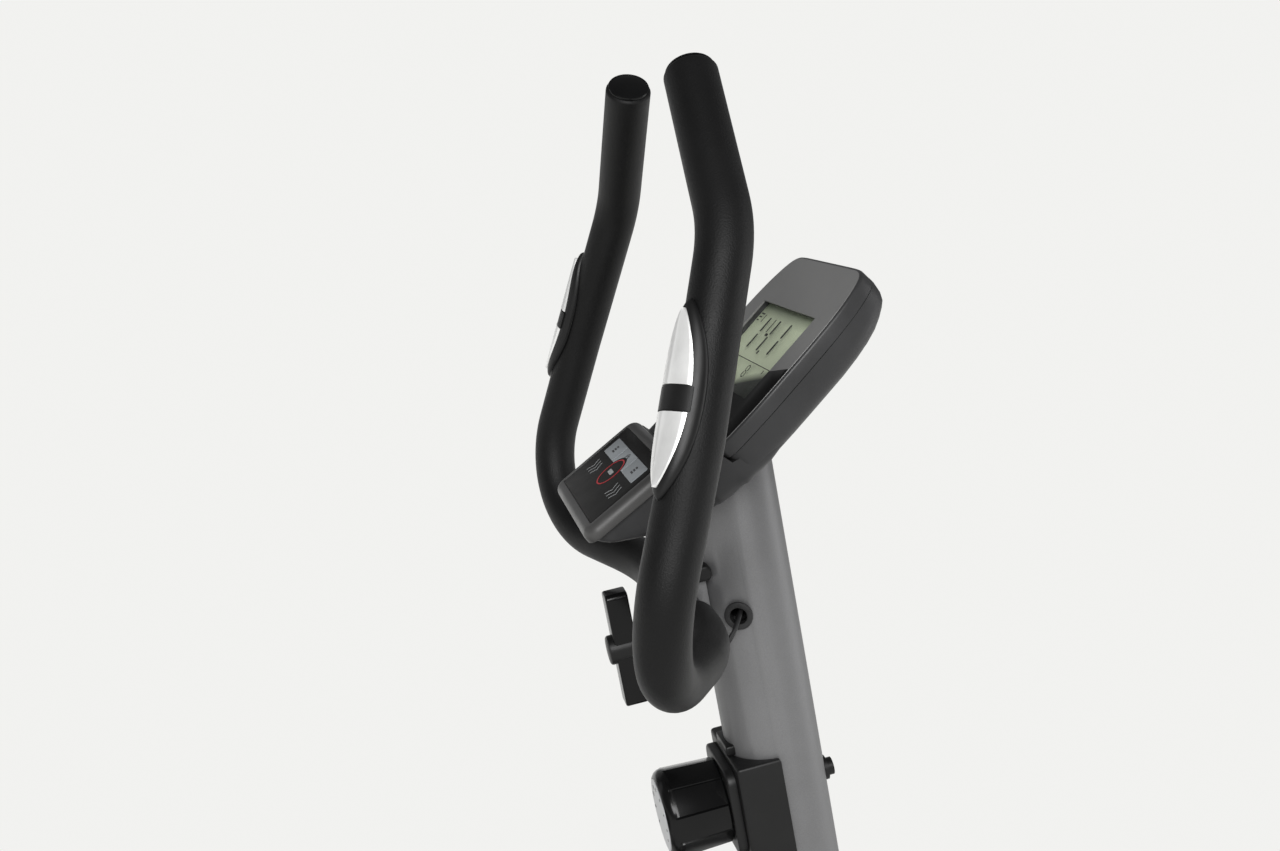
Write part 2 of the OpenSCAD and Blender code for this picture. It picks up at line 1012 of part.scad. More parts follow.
module seat_tube() {
  color("dimgray") {
    difference() {
      union() {
        intersection() {
          on_seat(beam_z1)
            translate([0, 0, -30])
              cylinder(r = seat_r, h = (seat_top - beam_z1) / cos(seat_lean) + 30);
          translate([-400, -100, beam_z1 + 0.05])
            cube([600, 200, 600]);
        }
        translate(crank)
          across(-shell_l / 2, shell_l / 2, shell_r);
        translate([-40, -6, crank_z - 12])
          cube([30, 12, 24]);
        on_seat(pin_z)
          translate([-seat_r + 3, 0, 0])
            rotate([0, -90, 0])
              cylinder(r = 10, h = 15);
      }
      on_seat(beam_z1)
        translate([0, 0, -60])
          cylinder(r = seat_r - seat_wall, h = 900);
      translate(crank)
        across(-60, 60, shell_r - 3);
      on_seat(pin_z)
        rotate([0, -90, 0])
          cylinder(r = pin_r + 0.06, h = 60);
    }
  }
}

module seat_bush() {
  color("#181818")
    on_seat(seat_top) {
      difference() {
        translate([0, 0, -90])
          cylinder(r = seat_r - seat_wall - 0.02, h = 93);
        translate([0, 0, -95])
          cylinder(r = sp_r + 0.08, h = 110);
        translate([0, 0, (pin_z - seat_top) / cos(seat_lean)])
          rotate([0, -90, 0])
            cylinder(r = pin_r + 1, h = 60);
      }
      translate([0, 0, 0.02])
        ring(seat_r + 2, sp_r + 0.08, 7);
    }
}

module seat_post() {
  color("silver")
    difference() {
      union() {
        on_seat(sp_bottom)
          cylinder(r = sp_r, h = sp_l);
        translate([saddle_x - 55, -32, saddle_z - 4])
          cube([110, 64, 4]);
        translate([saddle_x - 18, -14, saddle_z - 18])
          cube([36, 28, 15]);
      }
      on_seat(sp_bottom)
        translate([0, 0, -1])
          cylinder(r = sp_r - 2, h = sp_l - 24);
      for (k = [0:seat_holes - 1])
        on_seat(pin_z)
          translate([0, 0, -k * hole_step])
            rotate([0, -90, 0])
              cylinder(r = pin_r + 0.3, h = 60);
    }
}

// Spring pull pin: knob, stem and tip, its own Z pointing out of the tube
module seat_pin() {
  color("#141414")
    on_seat(pin_z)
      rotate([0, -90, 0]) {
        translate([0, 0, sp_r + 0.6])
          cylinder(r = pin_r, h = 30);
        translate([0, 0, seat_r + 12.6])
          cylinder(r = 14, h = 6);
        translate([0, 0, seat_r + 18.6])
          cylinder(r = 10, h = 10);
        translate([0, 0, seat_r + 28.6])
          cylinder(r = 19, h = 16);
      }
}

// Plan outline of the saddle: wide at the back and narrow at the nose
module saddle_plan(inset) {
  hull() {
    for (s = [-1, 1])
      translate([saddle_x - 62, s * 72])
        circle(48 - inset, $fn = 32);
    translate([saddle_x + 96, 0])
      circle(36 - inset, $fn = 32);
    translate([saddle_x + 10, 0])
      circle(74 - inset, $fn = 32);
  }
}

module saddle_base() {
  color("#121212")
    translate([0, 0, saddle_z + 0.1])
      linear_extrude(20)
        saddle_plan(8);
}

module saddle_cushion() {
  color("#1d1d1f")
    translate([0, 0, saddle_z + 20.4]) {
      linear_extrude(44)
        saddle_plan(0);
      translate([0, 0, 44])
        linear_extrude(14)
          saddle_plan(10);
    }
}

// ---------- handlebar ----------

module handlebar() {
  color("#2a2a2a")
    difference() {
      union() {
        both_sides()
          bar_half(bar_r, bar_r - bar_wall, 1);
        translate(bar_mid)
          tube_y(-1 - weld, 1 + weld, bar_r + weld_r, bar_wall + 2 * weld_r);
      }
      for (a = [-tilt_room, 0, tilt_room])
        translate(bar_mid + [0, wire_hole_y, 0])
          rotate([0, wire_hole_a + a, 0])
            cylinder(r = wire_hole_r, h = 40);
    }
}

module grip_left() {
  color("#1b1b1b") bar_half(grip_r, grip_in, grip_start);
}

module grip_right() {
  color("#1b1b1b") mirror([0, 1, 0]) bar_half(grip_r, grip_in, grip_start);
}

module end_plugs() {
  color("#0c0c0c")
    both_sides()
      along(bar_mid + bar_pts[5], bar_dir(4)) {
        translate([0, 0, 0.05])
          rotate_extrude()
            polygon(concat([[0, 0]], [for (a = [0:10:90]) [grip_r - 4.5 + 4 * cos(a), 4 * sin(a)]],
              [[0, 5]]));
        translate([0, 0, -14])
          cylinder(r = bar_r - bar_wall - 0.05, h = 14.05);
      }
}

// Frame of a pulse sensor on the left grip: Z up the grip, X away from the rider
module on_sensor() {
  along(bar_mid + sensor_mid, sensor_up)
    rotate([0, 0, -atan2(sensor_up.y, sensor_up.x) + sensor_turn])
      children();
}

// Long pointed oval seen from the rider's side
module sensor_lens(half_l, half_w) {
  r = (half_l * half_l + half_w * half_w) / (2 * half_w);
  rotate([0, -90, 0])
    linear_extrude(60)
      intersection() {
        translate([0, r - half_w])
          circle(r);
        translate([0, half_w - r])
          circle(r);
      }
}

module sensor_shell(r0, r1, half_l, half_w) {
  intersection() {
    difference() {
      cylinder(r = r1, h = 3 * half_l, center = true);
      cylinder(r = r0, h = 4 * half_l, center = true);
    }
    sensor_lens(half_l, half_w);
  }
}

module sensor_cases() {
  color("#131313")
    both_sides()
      on_sensor() {
        sensor_shell(grip_r + 1.6, grip_r + 5.4, 56, 16.5);
      }
}

module sensor_plates() {
  color("white")
    both_sides()
      on_sensor()
        difference() {
          sensor_shell(grip_r + 5.5, grip_r + 7, 50, 13);
          cube([90, 90, 12], center = true);
        }
}

// ---------- clamp ----------

module clamp_strap() {
  color("#8c8c90")
    difference() {
      union() {
        translate(bar_mid)
          tube_y(-13, 13, bar_r + clamp_gap + strap_t, strap_t);
        translate(bar_mid)
          rotate([0, -post_lean, 0])
            translate([-4, -13, -bolt_drop - 9])
              cube([strap_t, 26, bolt_drop - 6]);
      }
      translate(bar_mid)
        rotate([0, -post_lean, 0])
          translate([1, -60, -80])
            cube([80, 120, 160]);
      clamp_bolt_axis()
        cylinder(r = 4.3, h = 80, center = true);
    }
}

// Moulded cover over the clamp, open towards the post and at both sides
module clamp_cover() {
  color("#161616")
    translate(bar_mid)
      rotate([0, -post_lean, 0])
        difference() {
          translate([-23, -29, -bolt_drop - 20])
            cube([23 + 14, 58, bolt_drop + 20 + 30]);
          translate([-20, -26, -bolt_drop - 17])
            cube([50, 52, bolt_drop + 17 + 27]);
          translate([-20, -60, -bar_r - 6])
            cube([80, 120, 2 * bar_r + 12]);
          translate([0, 0, -bolt_drop])
            rotate([0, 90, 0])
              cylinder(r = 9, h = 80, center = true);
        }
}

module clamp_knob() {
  color("#0f0f0f")
    clamp_bolt_axis() {
      translate([0, 0, -12])
        cylinder(r = 4, h = 38);
      translate([0, 0, strap_t + 1.3])
        cylinder(r = knob_hub_r - 2.5, h = 30);
      translate([0, 0, 32])
        cylinder(r = knob_hub_r, h = 23.6);
      translate([0, 0, 35])
        linear_extrude(16)
          rounded(knob_arm_l, 18, 4);
    }
}

module wire_grommet() {
  color("#0a0a0a")
    grommet_axis()
      difference() {
        union() {
          translate([0, 0, -4])
            cylinder(r = 8, h = 5);
          translate([0, 0, 0.6])
            cylinder(r = 10, h = 2.4);
        }
        cylinder(r = 6, h = 20, center = true);
        rotate([0, 90, 0])
          translate([post_r, 0, 0])
            difference() {
              cylinder(r = post_r + 0.1, h = 60, center = true);
              translate([-post_r, 0, 0])
                cube([10, 16, 60], center = true);
            }
      }
}

wire_a = [
  [191, -4, 980], [187, -14, 979], [183, -23, 977], [179, -32, 975.5], [175, -41, 973], [170, -48, 967],
  [163, -50, 959], [156, -47, 955], [151, -43, 958], [147.5, -40.5, 963.5], [144.5, -40, 970]
];
wire_b = [
  [189, -4, 975], [185, -14, 974], [181, -23, 973], [177, -32, 971], [173, -41, 968], [168, -45, 960],
  [161, -44, 952], [154, -40, 950], [149.5, -37, 954.5], [146.5, -35.8, 961], [143.5, -35.5, 968]
];

module sensor_wires() {
  color("#050505") {
    polyhedron(points = sweep_points(wire_a, 1.5, 8, [0, 1, 1]), faces = sweep_faces(len(wire_a), 8));
    polyhedron(points = sweep_points(wire_b, 1.5, 8, [0, 1, 1]), faces = sweep_faces(len(wire_b), 8));
  }
}

// ---------- resistance knob ----------

// Frame on the post's rear skin: Z points to the rider, square to the post
module on_knob() {
  translate(knob_base)
    rotate([0, -90 - post_lean, 0])
      children();
}

module knob_saddle() {
  color("#191919")
    difference() {
      on_knob() {
        difference() {
          translate([0, 0, -30])
            linear_extrude(33)
              rounded(76, 78, 6);
          translate([0, 0, -post_r])
            rotate([0, 90, 0])
              cylinder(r = post_r + 0.1, h = 200, center = true);
        }
        translate([0, 0, 3])
          linear_extrude(7)
            rounded(base_side, base_side, 11);
      }
      on_knob()
        cylinder(r = 4.05, h = 80, center = true);
      on_post(knob_z + 9)
        rotate([0, 90, 0])
          cylinder(r = 3.3, h = 120, center = true);
    }
}

module resistance_knob() {
  color("#0b0b0b")
    on_knob() {
      translate([0, 0, 10.4])
        linear_extrude(knob_l)
          difference() {
            circle(knob_d / 2);
            for (k = [0:knob_facets - 1])
              rotate([0, 0, 360 * k / knob_facets])
                translate([knob_d / 2 + 4.4, 0])
                  circle(6);
          }
      translate([0, 0, 1])
        cylinder(r = 4, h = 18);
    }
}

module knob_label() {
  color("silver")
    on_knob()
      translate([0, 0, 10.4 + knob_l + 0.02])
        cylinder(r = knob_d / 2 - 6, h = 1);
}

// ---------- console ----------

// Plan of the console seen square to its face, top edge at x = 0, half-widths given by s
module face_plan(inset) {
  h = face_half - inset;
  top = face_half - 21 - inset;
  polygon([
    [-inset, -top], [-inset, top], [-6, h - 13], [-16, h - 8.5], [-27, h - 4.5], [-42, h - 1.5],
    [-62, h], [-110, h], [-face_l + inset, h - 5], [-face_l + inset, 5 - h],
    [-110, -h], [-62, -h], [-42, 1.5 - h], [-27, 4.5 - h], [-16, 8.5 - h], [-6, 13 - h]
  ]);
}

// Side view of the back shell in the face's frame: x up the face, y out of the face
module back_profile(t) {
  polygon([
    [-face_l + t, seam_n + t * 0.2], [-face_l + t, back_n + t], [-60, back_n + t], [-40, back_n + 1.5 + t],
    [-26, back_n + 4 + t], [-14, back_n + 8 + t], [-6, -29 + t], [0 - t * 0.6, -23 + t * 0.4], [2 - t, -17],
    [2 - t, seam_n + t * 0.2]
  ]);
}

module face_side(y) {
  translate([0, y, 0])
    rotate([90, 0, 0])
      linear_extrude(2 * y)
        children();
}

// Body of the back shell: the side view and the plan in common
module back_body(t) {
  on_face()
    intersection() {
      face_side(face_half + 5)
        back_profile(t);
      translate([2, 0, -80])
        linear_extrude(80 + seam_n + (t > 0 ? 1 : 0))
          face_plan(t);
    }
}

// Side view of the back shell below the keypad, in the keypad's frame
module belly_profile(t) {
  rim = t > 0 ? 2 : 0;
  polygon([
    [4 + t, rim - 10], [4 + t, -14], [16 + t, t - 25], [34 + t, t - 37], [53.5 + t, t - 46.5], [72.5, t - 51.5],
    [94.5, t - 51.5], [neck_l - t, t - 44.5], [neck_l - t, -30 - t], [103.3 - t, -23.4 - t], [102 - t, -16 - t],
    [82 - t, -16 - t], [81 - t, rim - 10]
  ]);
}

// Plan of the back shell from the keypad to the wider display
module belly_plan(t) {
  half = [[4 + t, 58 - t], [12, 67 - t], [64, 68 - t], [98, 84 - t], [neck_l - t, 87 - t]];
  polygon(concat(
    half,
    [for (i = [len(half) - 1:-1:0]) [half[i].x, -half[i].y]]));
}

// Belly of the back shell below the keypad
module belly(t) {
  on_keys()
    intersection() {
      face_side(face_half)
        belly_profile(t);
      translate([0, 0, -70])
        linear_extrude(80)
          belly_plan(t);
    }
}

module console_back() {
  color("#232325")
    difference() {
      union() {
        back_body(0);
        belly(0);
      }
      back_body(shell_t);
      belly(shell_t);
      difference() {
        on_post(900)
          cylinder(r = post_r + slack, h = post_z1 - 900 + 8);
        above_face_level(post_n + 2);
      }
      console_screw_spots()
        cylinder(r = 1.8, h = 20, center = true);
    }
}

// Two screws that hold the console's shells together, from below
module console_screw_spots() {
  for (s = [-1, 1])
    on_face()
      translate([-128, s * 50, back_n])
        children();
}

module console_face() {
  color("#6d6d70")
    on_face()
      difference() {
        translate([0, 0, seam_n + 0.05])
          linear_extrude(-seam_n)
            face_plan(0.5);
        translate([0, 0, seam_n - 1])
          linear_extrude(-seam_n + 1 - shell_t)
            face_plan(shell_t + 0.5);
        translate([lcd_top - lcd_l / 2, 0, -20])
          linear_extrude(40)
            rounded(lcd_l, 2 * lcd_half, 1);
      }
}

module lcd_window() {
  color("#a9b8a2", 0.5)
    on_face()
      translate([lcd_top - lcd_l / 2, 0, -4.6])
        linear_extrude(2)
          rounded(lcd_l + 6, 2 * lcd_half + 6, 1);
}

module lcd_screen() {
  color("#9fb096")
    on_face()
      translate([lcd_top - lcd_l / 2, 0, -8.6])
        linear_extrude(3.5)
          rounded(lcd_l + 4, 2 * lcd_half + 4, 1);
}

module console_board() {
  color("darkgreen")
    on_face()
      translate([lcd_top - lcd_l / 2, 0, -12])
        linear_extrude(1.6)
          rounded(96, 140, 3);
}

module key_plan(inset) {
  translate([key_l / 2, 0])
    rounded(key_l - 2 * inset, 2 * (key_half - inset), 12 - inset / 2);
}

module strip_hole(i, grow) {
  translate([strip_x, i * strip_step])
    rounded(15 + grow, strip_step - 1 + grow, 1.5);
}

module keypad_frame() {
  color("#77777a")
    on_keys()
      difference() {
        union() {
          translate([0, 0, -9.9])
            linear_extrude(6)
              key_plan(0);
          translate([0, 0, -4])
            linear_extrude(4)
              key_plan(1.5);
        }
        translate([0, 0, -1])
          linear_extrude(4)
            key_plan(9);
        translate([0, 0, -20])
          linear_extrude(40)
            for (i = [-1:1])
              strip_hole(i, 0.8);
      }
}

module keypad_film() {
  color("#101010")
    on_keys()
      translate([0, 0, -0.95])
        linear_extrude(0.8)
          difference() {
            key_plan(9.2);
            for (i = [-1:1])
              strip_hole(i, 0.8);
          }
}

module button(i) {
  color("#9aa0a4")
    on_keys()
      translate([0, 0, -1.6])
        linear_extrude(button_t)
          strip_hole(i, -0.4);
}

// ---------- assembly ----------

main_beam();
seat_tube();
front_stabiliser();
rear_stabiliser();
stabiliser_bolts();
front_caps();
rear_cap();  // rear_cap_left
mirror([0, 1, 0]) rear_cap();  // rear_cap_right
wheel();  // wheel_left
mirror([0, 1, 0]) wheel();  // wheel_right
post();
post_bolts();
housing_left();
housing_right();
cover_screws();
crank_axle();
bearings();
belt_pulley();
crank_left();
crank_right();
pedal_spindles();
on_pedal(1) pedal();  // pedal_left
on_pedal(-1) pedal();  // pedal_right
on_pedal(1) strap();  // strap_left
on_pedal(-1) strap();  // strap_right
flywheel();
drive_pins();
drive_belt();
brake_bracket();
brake_cable();
speed_sensor();
seat_bush();
seat_post();
seat_pin();
saddle_base();
saddle_cushion();
handlebar();
grip_left();
grip_right();
end_plugs();
sensor_cases();
sensor_plates();
clamp_strap();
clamp_cover();
clamp_knob();
wire_grommet();
sensor_wires();
knob_saddle();
resistance_knob();
knob_label();
console_back();
console_face();
lcd_screen();
lcd_window();
keypad_frame();
keypad_film();
button(1);  // button_left
button(0);  // button_middle
button(-1);  // button_right
console_board();
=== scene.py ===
import json
import math

import bmesh
import bpy
from mathutils import Matrix, Vector

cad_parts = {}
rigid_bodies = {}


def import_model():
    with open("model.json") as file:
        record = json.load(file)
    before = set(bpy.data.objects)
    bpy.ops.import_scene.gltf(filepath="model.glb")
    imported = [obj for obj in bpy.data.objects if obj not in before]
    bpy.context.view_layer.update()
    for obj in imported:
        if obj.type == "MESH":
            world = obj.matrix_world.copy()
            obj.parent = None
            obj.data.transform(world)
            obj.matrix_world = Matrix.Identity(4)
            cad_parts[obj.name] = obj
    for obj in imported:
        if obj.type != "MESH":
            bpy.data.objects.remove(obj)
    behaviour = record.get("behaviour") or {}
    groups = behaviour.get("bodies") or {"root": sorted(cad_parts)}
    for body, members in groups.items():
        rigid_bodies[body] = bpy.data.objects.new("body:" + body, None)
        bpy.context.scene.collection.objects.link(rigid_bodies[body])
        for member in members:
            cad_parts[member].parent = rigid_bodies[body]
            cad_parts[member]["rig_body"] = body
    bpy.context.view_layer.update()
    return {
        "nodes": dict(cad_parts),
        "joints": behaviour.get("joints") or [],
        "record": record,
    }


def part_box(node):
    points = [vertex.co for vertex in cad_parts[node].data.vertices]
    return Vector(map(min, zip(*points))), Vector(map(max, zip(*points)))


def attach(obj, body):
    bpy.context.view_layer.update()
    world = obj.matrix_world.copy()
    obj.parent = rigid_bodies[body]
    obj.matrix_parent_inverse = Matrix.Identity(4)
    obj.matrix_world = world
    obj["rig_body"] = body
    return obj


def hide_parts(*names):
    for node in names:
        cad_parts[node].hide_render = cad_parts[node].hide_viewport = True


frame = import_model()

NODES = frame["nodes"]
JOINTS = {joint["name"]: joint for joint in frame["joints"]}
MM = 0.001


# ---------------------------------------------------------------- positions

def joint_place(name):
    return Vector(JOINTS[name]["pos_m"])


def joint_axis(name):
    return Vector(JOINTS[name]["axis"]).normalized()


BAR_MID = joint_place("bar_tilt")
KNOB_AXIS = joint_axis("knob_turn")
CLAMP_AXIS = joint_axis("clamp_turn")

# The console's face: its tilt, and its top edge at the highest point of the face node
FACE_TILT = math.radians(48)
KEY_TILT = math.radians(39)
KEY_LENGTH = 79 * MM
KEY_HALF = 71 * MM
LCD_TOP = 43 * MM
LCD_LENGTH = 70 * MM
LCD_HALF = 60 * MM

POST_R = 34.5 * MM
GRIP_R = 16.5 * MM
LEAD_R = 1.5 * MM
BAR_R = 12.7 * MM

# Centre line of one half of the handlebar from its middle, in mm, and the bend radius at each point
BAR_POINTS = [(0, 0, 0), (0, 100, 0), (-73, 236, 9.5), (-37, 206, 157.5), (-11, 170, 269.5), (-16, 99, 357.5)]
BAR_BENDS = [0, 144, 69, 90, 82, 0]
GRIP_START = 50 * MM
SENSOR_MID = Vector((-32.9, 199.5, 176)) * MM
SENSOR_UP = Vector((22.8, -27.6, 97)).normalized()


def tilted(origin, tilt):
    """A frame with X up the slope, Y to the rider's left and Z out of the surface."""
    return Matrix.Translation(origin) @ Matrix.Rotation(-tilt, 4, "Y")


def facing(origin, z_axis, x_hint):
    """A frame whose Z is z_axis and whose X is as near x_hint as it can be."""
    z = z_axis.normalized()
    x = (x_hint - z * x_hint.dot(z)).normalized()
    y = z.cross(x)
    return Matrix.Translation(origin) @ Matrix((x, y, z)).transposed().to_4x4()


def top_edge(node):
    """The upper edge of a tilted plate, on the middle plane of the bike."""
    top = max((v.co for v in NODES[node].data.vertices), key=lambda p: p.z)
    return Vector((top.x, 0, top.z))


FACE_FRAME = tilted(top_edge("console_face"), FACE_TILT)
KEY_TOP = top_edge("keypad_frame")
KEY_UP = Vector((math.cos(KEY_TILT), 0, math.sin(KEY_TILT)))
KEY_FRAME = tilted(KEY_TOP - KEY_UP * (KEY_LENGTH - 1.5 * MM), KEY_TILT)
POST_UP = Vector((KNOB_AXIS.z, 0, -KNOB_AXIS.x))
KNOB_FRAME = facing(joint_place("knob_turn"), KNOB_AXIS, POST_UP)
CLAMP_FRAME = facing(joint_place("clamp_turn"), CLAMP_AXIS, POST_UP)


# ---------------------------------------------------------------- materials

def socket(shader, name, value):
    shader.inputs[name].default_value = value


def noise(tree, coords, scale, detail=4.0, rough=0.6):
    node = tree.nodes.new("ShaderNodeTexNoise")
    node.inputs["Scale"].default_value = scale
    node.inputs["Detail"].default_value = detail
    node.inputs["Roughness"].default_value = rough
    tree.links.new(coords, node.inputs["Vector"])
    return node.outputs["Fac"]


def ramp(tree, fac, stops):
    node = tree.nodes.new("ShaderNodeValToRGB")
    elements = node.color_ramp.elements
    while len(elements) < len(stops):
        elements.new(0.5)
    for element, (place, colour) in zip(elements, stops):
        element.position = place
        element.color = (*colour, 1)
    tree.links.new(fac, node.inputs["Fac"])
    return node.outputs["Color"]


def remap(tree, fac, low, high, to_low, to_high):
    node = tree.nodes.new("ShaderNodeMapRange")
    for name, value in zip(("From Min", "From Max", "To Min", "To Max"), (low, high, to_low, to_high)):
        node.inputs[name].default_value = value
    tree.links.new(fac, node.inputs["Value"])
    return node.outputs["Result"]


def bump(tree, height, strength, distance, under=None):
    node = tree.nodes.new("ShaderNodeBump")
    node.inputs["Strength"].default_value = strength
    node.inputs["Distance"].default_value = distance
    tree.links.new(height, node.inputs["Height"])
    if under is not None:
        tree.links.new(under, node.inputs["Normal"])
    return node.outputs["Normal"]


def surface(name, colour, rough, metal=0.0, grain=900, grain_depth=0.00003, vary=0.25, cloud=25, coat=0.0,
            coat_rough=0.1, sheen=0.0, specular=0.5, speckle=0.0):
    """A surface whose colour, roughness and fine relief all vary in the object's own space."""
    mat = bpy.data.materials.new(name)
    mat.use_nodes = True
    mat.diffuse_color = (*colour, 1)
    tree = mat.node_tree
    shader = tree.nodes["Principled BSDF"]
    coords = tree.nodes.new("ShaderNodeTexCoord").outputs["Object"]
    clouds = noise(tree, coords, cloud)
    fine = noise(tree, coords, grain, 3.0, 0.7)
    dark = tuple(c * (1 - vary) for c in colour)
    light = tuple(min(1, c * (1 + vary)) for c in colour)
    tone = clouds
    if speckle:
        mixed = tree.nodes.new("ShaderNodeMix")
        mixed.inputs["Factor"].default_value = speckle
        tree.links.new(clouds, mixed.inputs["A"])
        tree.links.new(fine, mixed.inputs["B"])
        tone = mixed.outputs["Result"]
    tree.links.new(ramp(tree, tone, [(0.3, dark), (0.7, light)]), shader.inputs["Base Color"])
    tree.links.new(remap(tree, clouds, 0.3, 0.7, rough * 0.88, min(1, rough * 1.12)),
                   shader.inputs["Roughness"])
    tree.links.new(bump(tree, fine, 1.0, grain_depth), shader.inputs["Normal"])
    socket(shader, "Metallic", metal)
    socket(shader, "Coat Weight", coat)
    socket(shader, "Coat Roughness", coat_rough)
    socket(shader, "Sheen Weight", sheen)
    socket(shader, "Specular IOR Level", specular)
    return mat


def grained(name, colour, rough, cell, depth, **more):
    """A surface with the pebbled relief of moulded or embossed skin."""
    mat = surface(name, colour, rough, **more)
    tree = mat.node_tree
    shader = tree.nodes["Principled BSDF"]
    coords = tree.nodes["Texture Coordinate"].outputs["Object"]
    cells = tree.nodes.new("ShaderNodeTexVoronoi")
    cells.inputs["Scale"].default_value = cell
    tree.links.new(coords, cells.inputs["Vector"])
    fine = shader.inputs["Normal"].links[0].from_socket
    tree.links.new(bump(tree, cells.outputs["Distance"], 1.0, depth, fine), shader.inputs["Normal"])
    return mat


def brushed(name, colour, rough, along, scale=420, depth=0.00001, metal=1.0):
    """Metal with fine lines that run along one axis."""
    mat = surface(name, colour, rough, metal=metal, grain=1500, grain_depth=0.000004, vary=0.12)
    tree = mat.node_tree
    shader = tree.nodes["Principled BSDF"]
    stretch = tree.nodes.new("ShaderNodeMapping")
    stretch.inputs["Scale"].default_value = tuple(0.03 if axis == along else 1 for axis in "XYZ")
    tree.links.new(tree.nodes["Texture Coordinate"].outputs["Object"], stretch.inputs["Vector"])
    lines = noise(tree, stretch.outputs["Vector"], scale, 2.0, 0.5)
    tree.links.new(bump(tree, lines, 1.0, depth), shader.inputs["Normal"])
    return mat


FOAM = grained("foam_skin", (0.0045, 0.0045, 0.0046), 0.50, 1100, 0.00012, vary=0.18, cloud=14, sheen=0.02,
               grain=2400, grain_depth=0.00008, specular=0.2)
POST_PAINT = surface("gunmetal_paint", (0.185, 0.185, 0.188), 0.50, metal=0.45, grain=1700,
                     grain_depth=0.00002,
                     vary=0.22, cloud=9, speckle=0.55)
BAR_PAINT = surface("bar_paint", (0.020, 0.020, 0.021), 0.36, metal=0.3, grain=1500, vary=0.2, speckle=0.4)
SHELL = surface("console_shell_plastic", (0.030, 0.030, 0.031), 0.44, grain=1300, grain_depth=0.00004,
                vary=0.12,
                specular=0.3)
RIM = surface("console_rim_plastic", (0.034, 0.034, 0.035), 0.40, grain=1300, grain_depth=0.00003, vary=0.12,
              specular=0.3)
FACE = surface("face_grey_paint", (0.20, 0.199, 0.197), 0.46, metal=0.2, grain=1600, grain_depth=0.000015,
               vary=0.08)
BEZEL = surface("bezel_grey_paint", (0.062, 0.061, 0.060), 0.44, metal=0.2, grain=1600,
                grain_depth=0.00002, vary=0.1)
GLOSS = surface("gloss_black", (0.0045, 0.0045, 0.0046), 0.22, grain=500, grain_depth=0.000004, vary=0.2,
                coat=0.04,
                specular=0.2)
SATIN = surface("satin_black", (0.007, 0.007, 0.0071), 0.42, grain=1000, grain_depth=0.00004, vary=0.2,
                specular=0.3)
MATT = grained("moulded_black", (0.022, 0.022, 0.023), 0.55, 700, 0.00008, vary=0.2)
COVER = grained("cover_plastic", (0.030, 0.030, 0.032), 0.46, 620, 0.00006, vary=0.15)
FILM = surface("keypad_film", (0.0105, 0.0102, 0.010), 0.42, grain=1600, grain_depth=0.00001, vary=0.15,
               specular=0.05)
SILVER_KEY = surface("silver_key", (0.36, 0.385, 0.405), 0.45, metal=0.25, grain=1600, grain_depth=0.00001,
                     vary=0.08)
PRINT_DARK = surface("dark_print", (0.035, 0.036, 0.038), 0.5, vary=0.1)
PRINT_GREY = surface("grey_print", (0.40, 0.41, 0.42), 0.5, vary=0.1)
PRINT_RED = surface("red_print", (0.48, 0.012, 0.022), 0.45, vary=0.1)
SEGMENT = surface("display_segment", (0.012, 0.015, 0.008), 0.5, vary=0.1)
PLATE_STEEL = brushed("polished_plate", (0.86, 0.86, 0.85), 0.30, "Z", scale=900, depth=0.000003, metal=0.45)
STEEL = brushed("zinc_steel", (0.50, 0.50, 0.49), 0.32, "X")
CHROME = surface("chrome", (0.72, 0.72, 0.73), 0.10, metal=1.0, grain=600, grain_depth=0.000003, vary=0.04)
IRON = surface("cast_iron", (0.13, 0.13, 0.135), 0.5, metal=0.9, grain=500, grain_depth=0.0001, vary=0.3)
LABEL = brushed("satin_label", (0.50, 0.51, 0.52), 0.34, "Y", scale=700, metal=0.4)
# Near-black with almost no specular: the face's foot, partly black gloss and partly painted shade.
FOOT_BLACK_AND_SHADE = surface("face_foot_black_and_shade", (0.005, 0.005, 0.005), 0.40, grain=900, grain_depth=0.000004, vary=0.2,
               specular=0.05)
RUBBER = surface("rubber", (0.014, 0.014, 0.0145), 0.6, grain=800, grain_depth=0.00005, vary=0.2)
BOARD = surface("circuit_board", (0.02, 0.12, 0.05), 0.4, grain=300, vary=0.3)
SEAT_SKIN = grained("seat_vinyl", (0.020, 0.020, 0.021), 0.50, 520, 0.00022, vary=0.2, cloud=18, sheen=0.05)


# ---------------------------------------------------------------- mesh helpers

def polar(r, a, z=0.0):
    return Vector((r * math.cos(a), r * math.sin(a), z))


def full_turn(count):
    return [2 * math.pi * k / count for k in range(count)]


def in_mm(place, point):
    """A point given in mm in a frame, as a place in the world in metres."""
    return place @ (point * MM)


def mesh_object(name, verts, faces, mat, smooth_angle=35):
    mesh = bpy.data.meshes.new(name)
    mesh.from_pydata([tuple(v) for v in verts], [], faces)
    mesh.materials.append(mat)
    obj = bpy.data.objects.new(name, mesh)
    bpy.context.scene.collection.objects.link(obj)
    outward(obj)
    shade(obj, smooth_angle)
    return obj


def outward(obj):
    bm = bmesh.new()
    bm.from_mesh(obj.data)
    bmesh.ops.recalc_face_normals(bm, faces=bm.faces)
    bm.to_mesh(obj.data)
    bm.free()


def shade(obj, angle):
    obj.data.shade_smooth()
    obj.data.set_sharp_from_angle(angle=math.radians(angle))


def loft(name, rings, mat, caps=True, smooth_angle=35, loop=False):
    """A skin over closed rings that all have the same number of points."""
    count = len(rings[0])
    verts = [p for ring in rings for p in ring]
    faces = []
    steps = len(rings) if loop else len(rings) - 1
    for i in range(steps):
        a = i * count
        b = (i + 1) % len(rings) * count
        for k in range(count):
            n = (k + 1) % count
            faces.append((a + k, a + n, b + n, b + k))
    if caps and not loop:
        faces.append(tuple(range(count))[::-1])
        faces.append(tuple(range(len(verts) - count, len(verts))))
    return mesh_object(name, verts, faces, mat, smooth_angle)


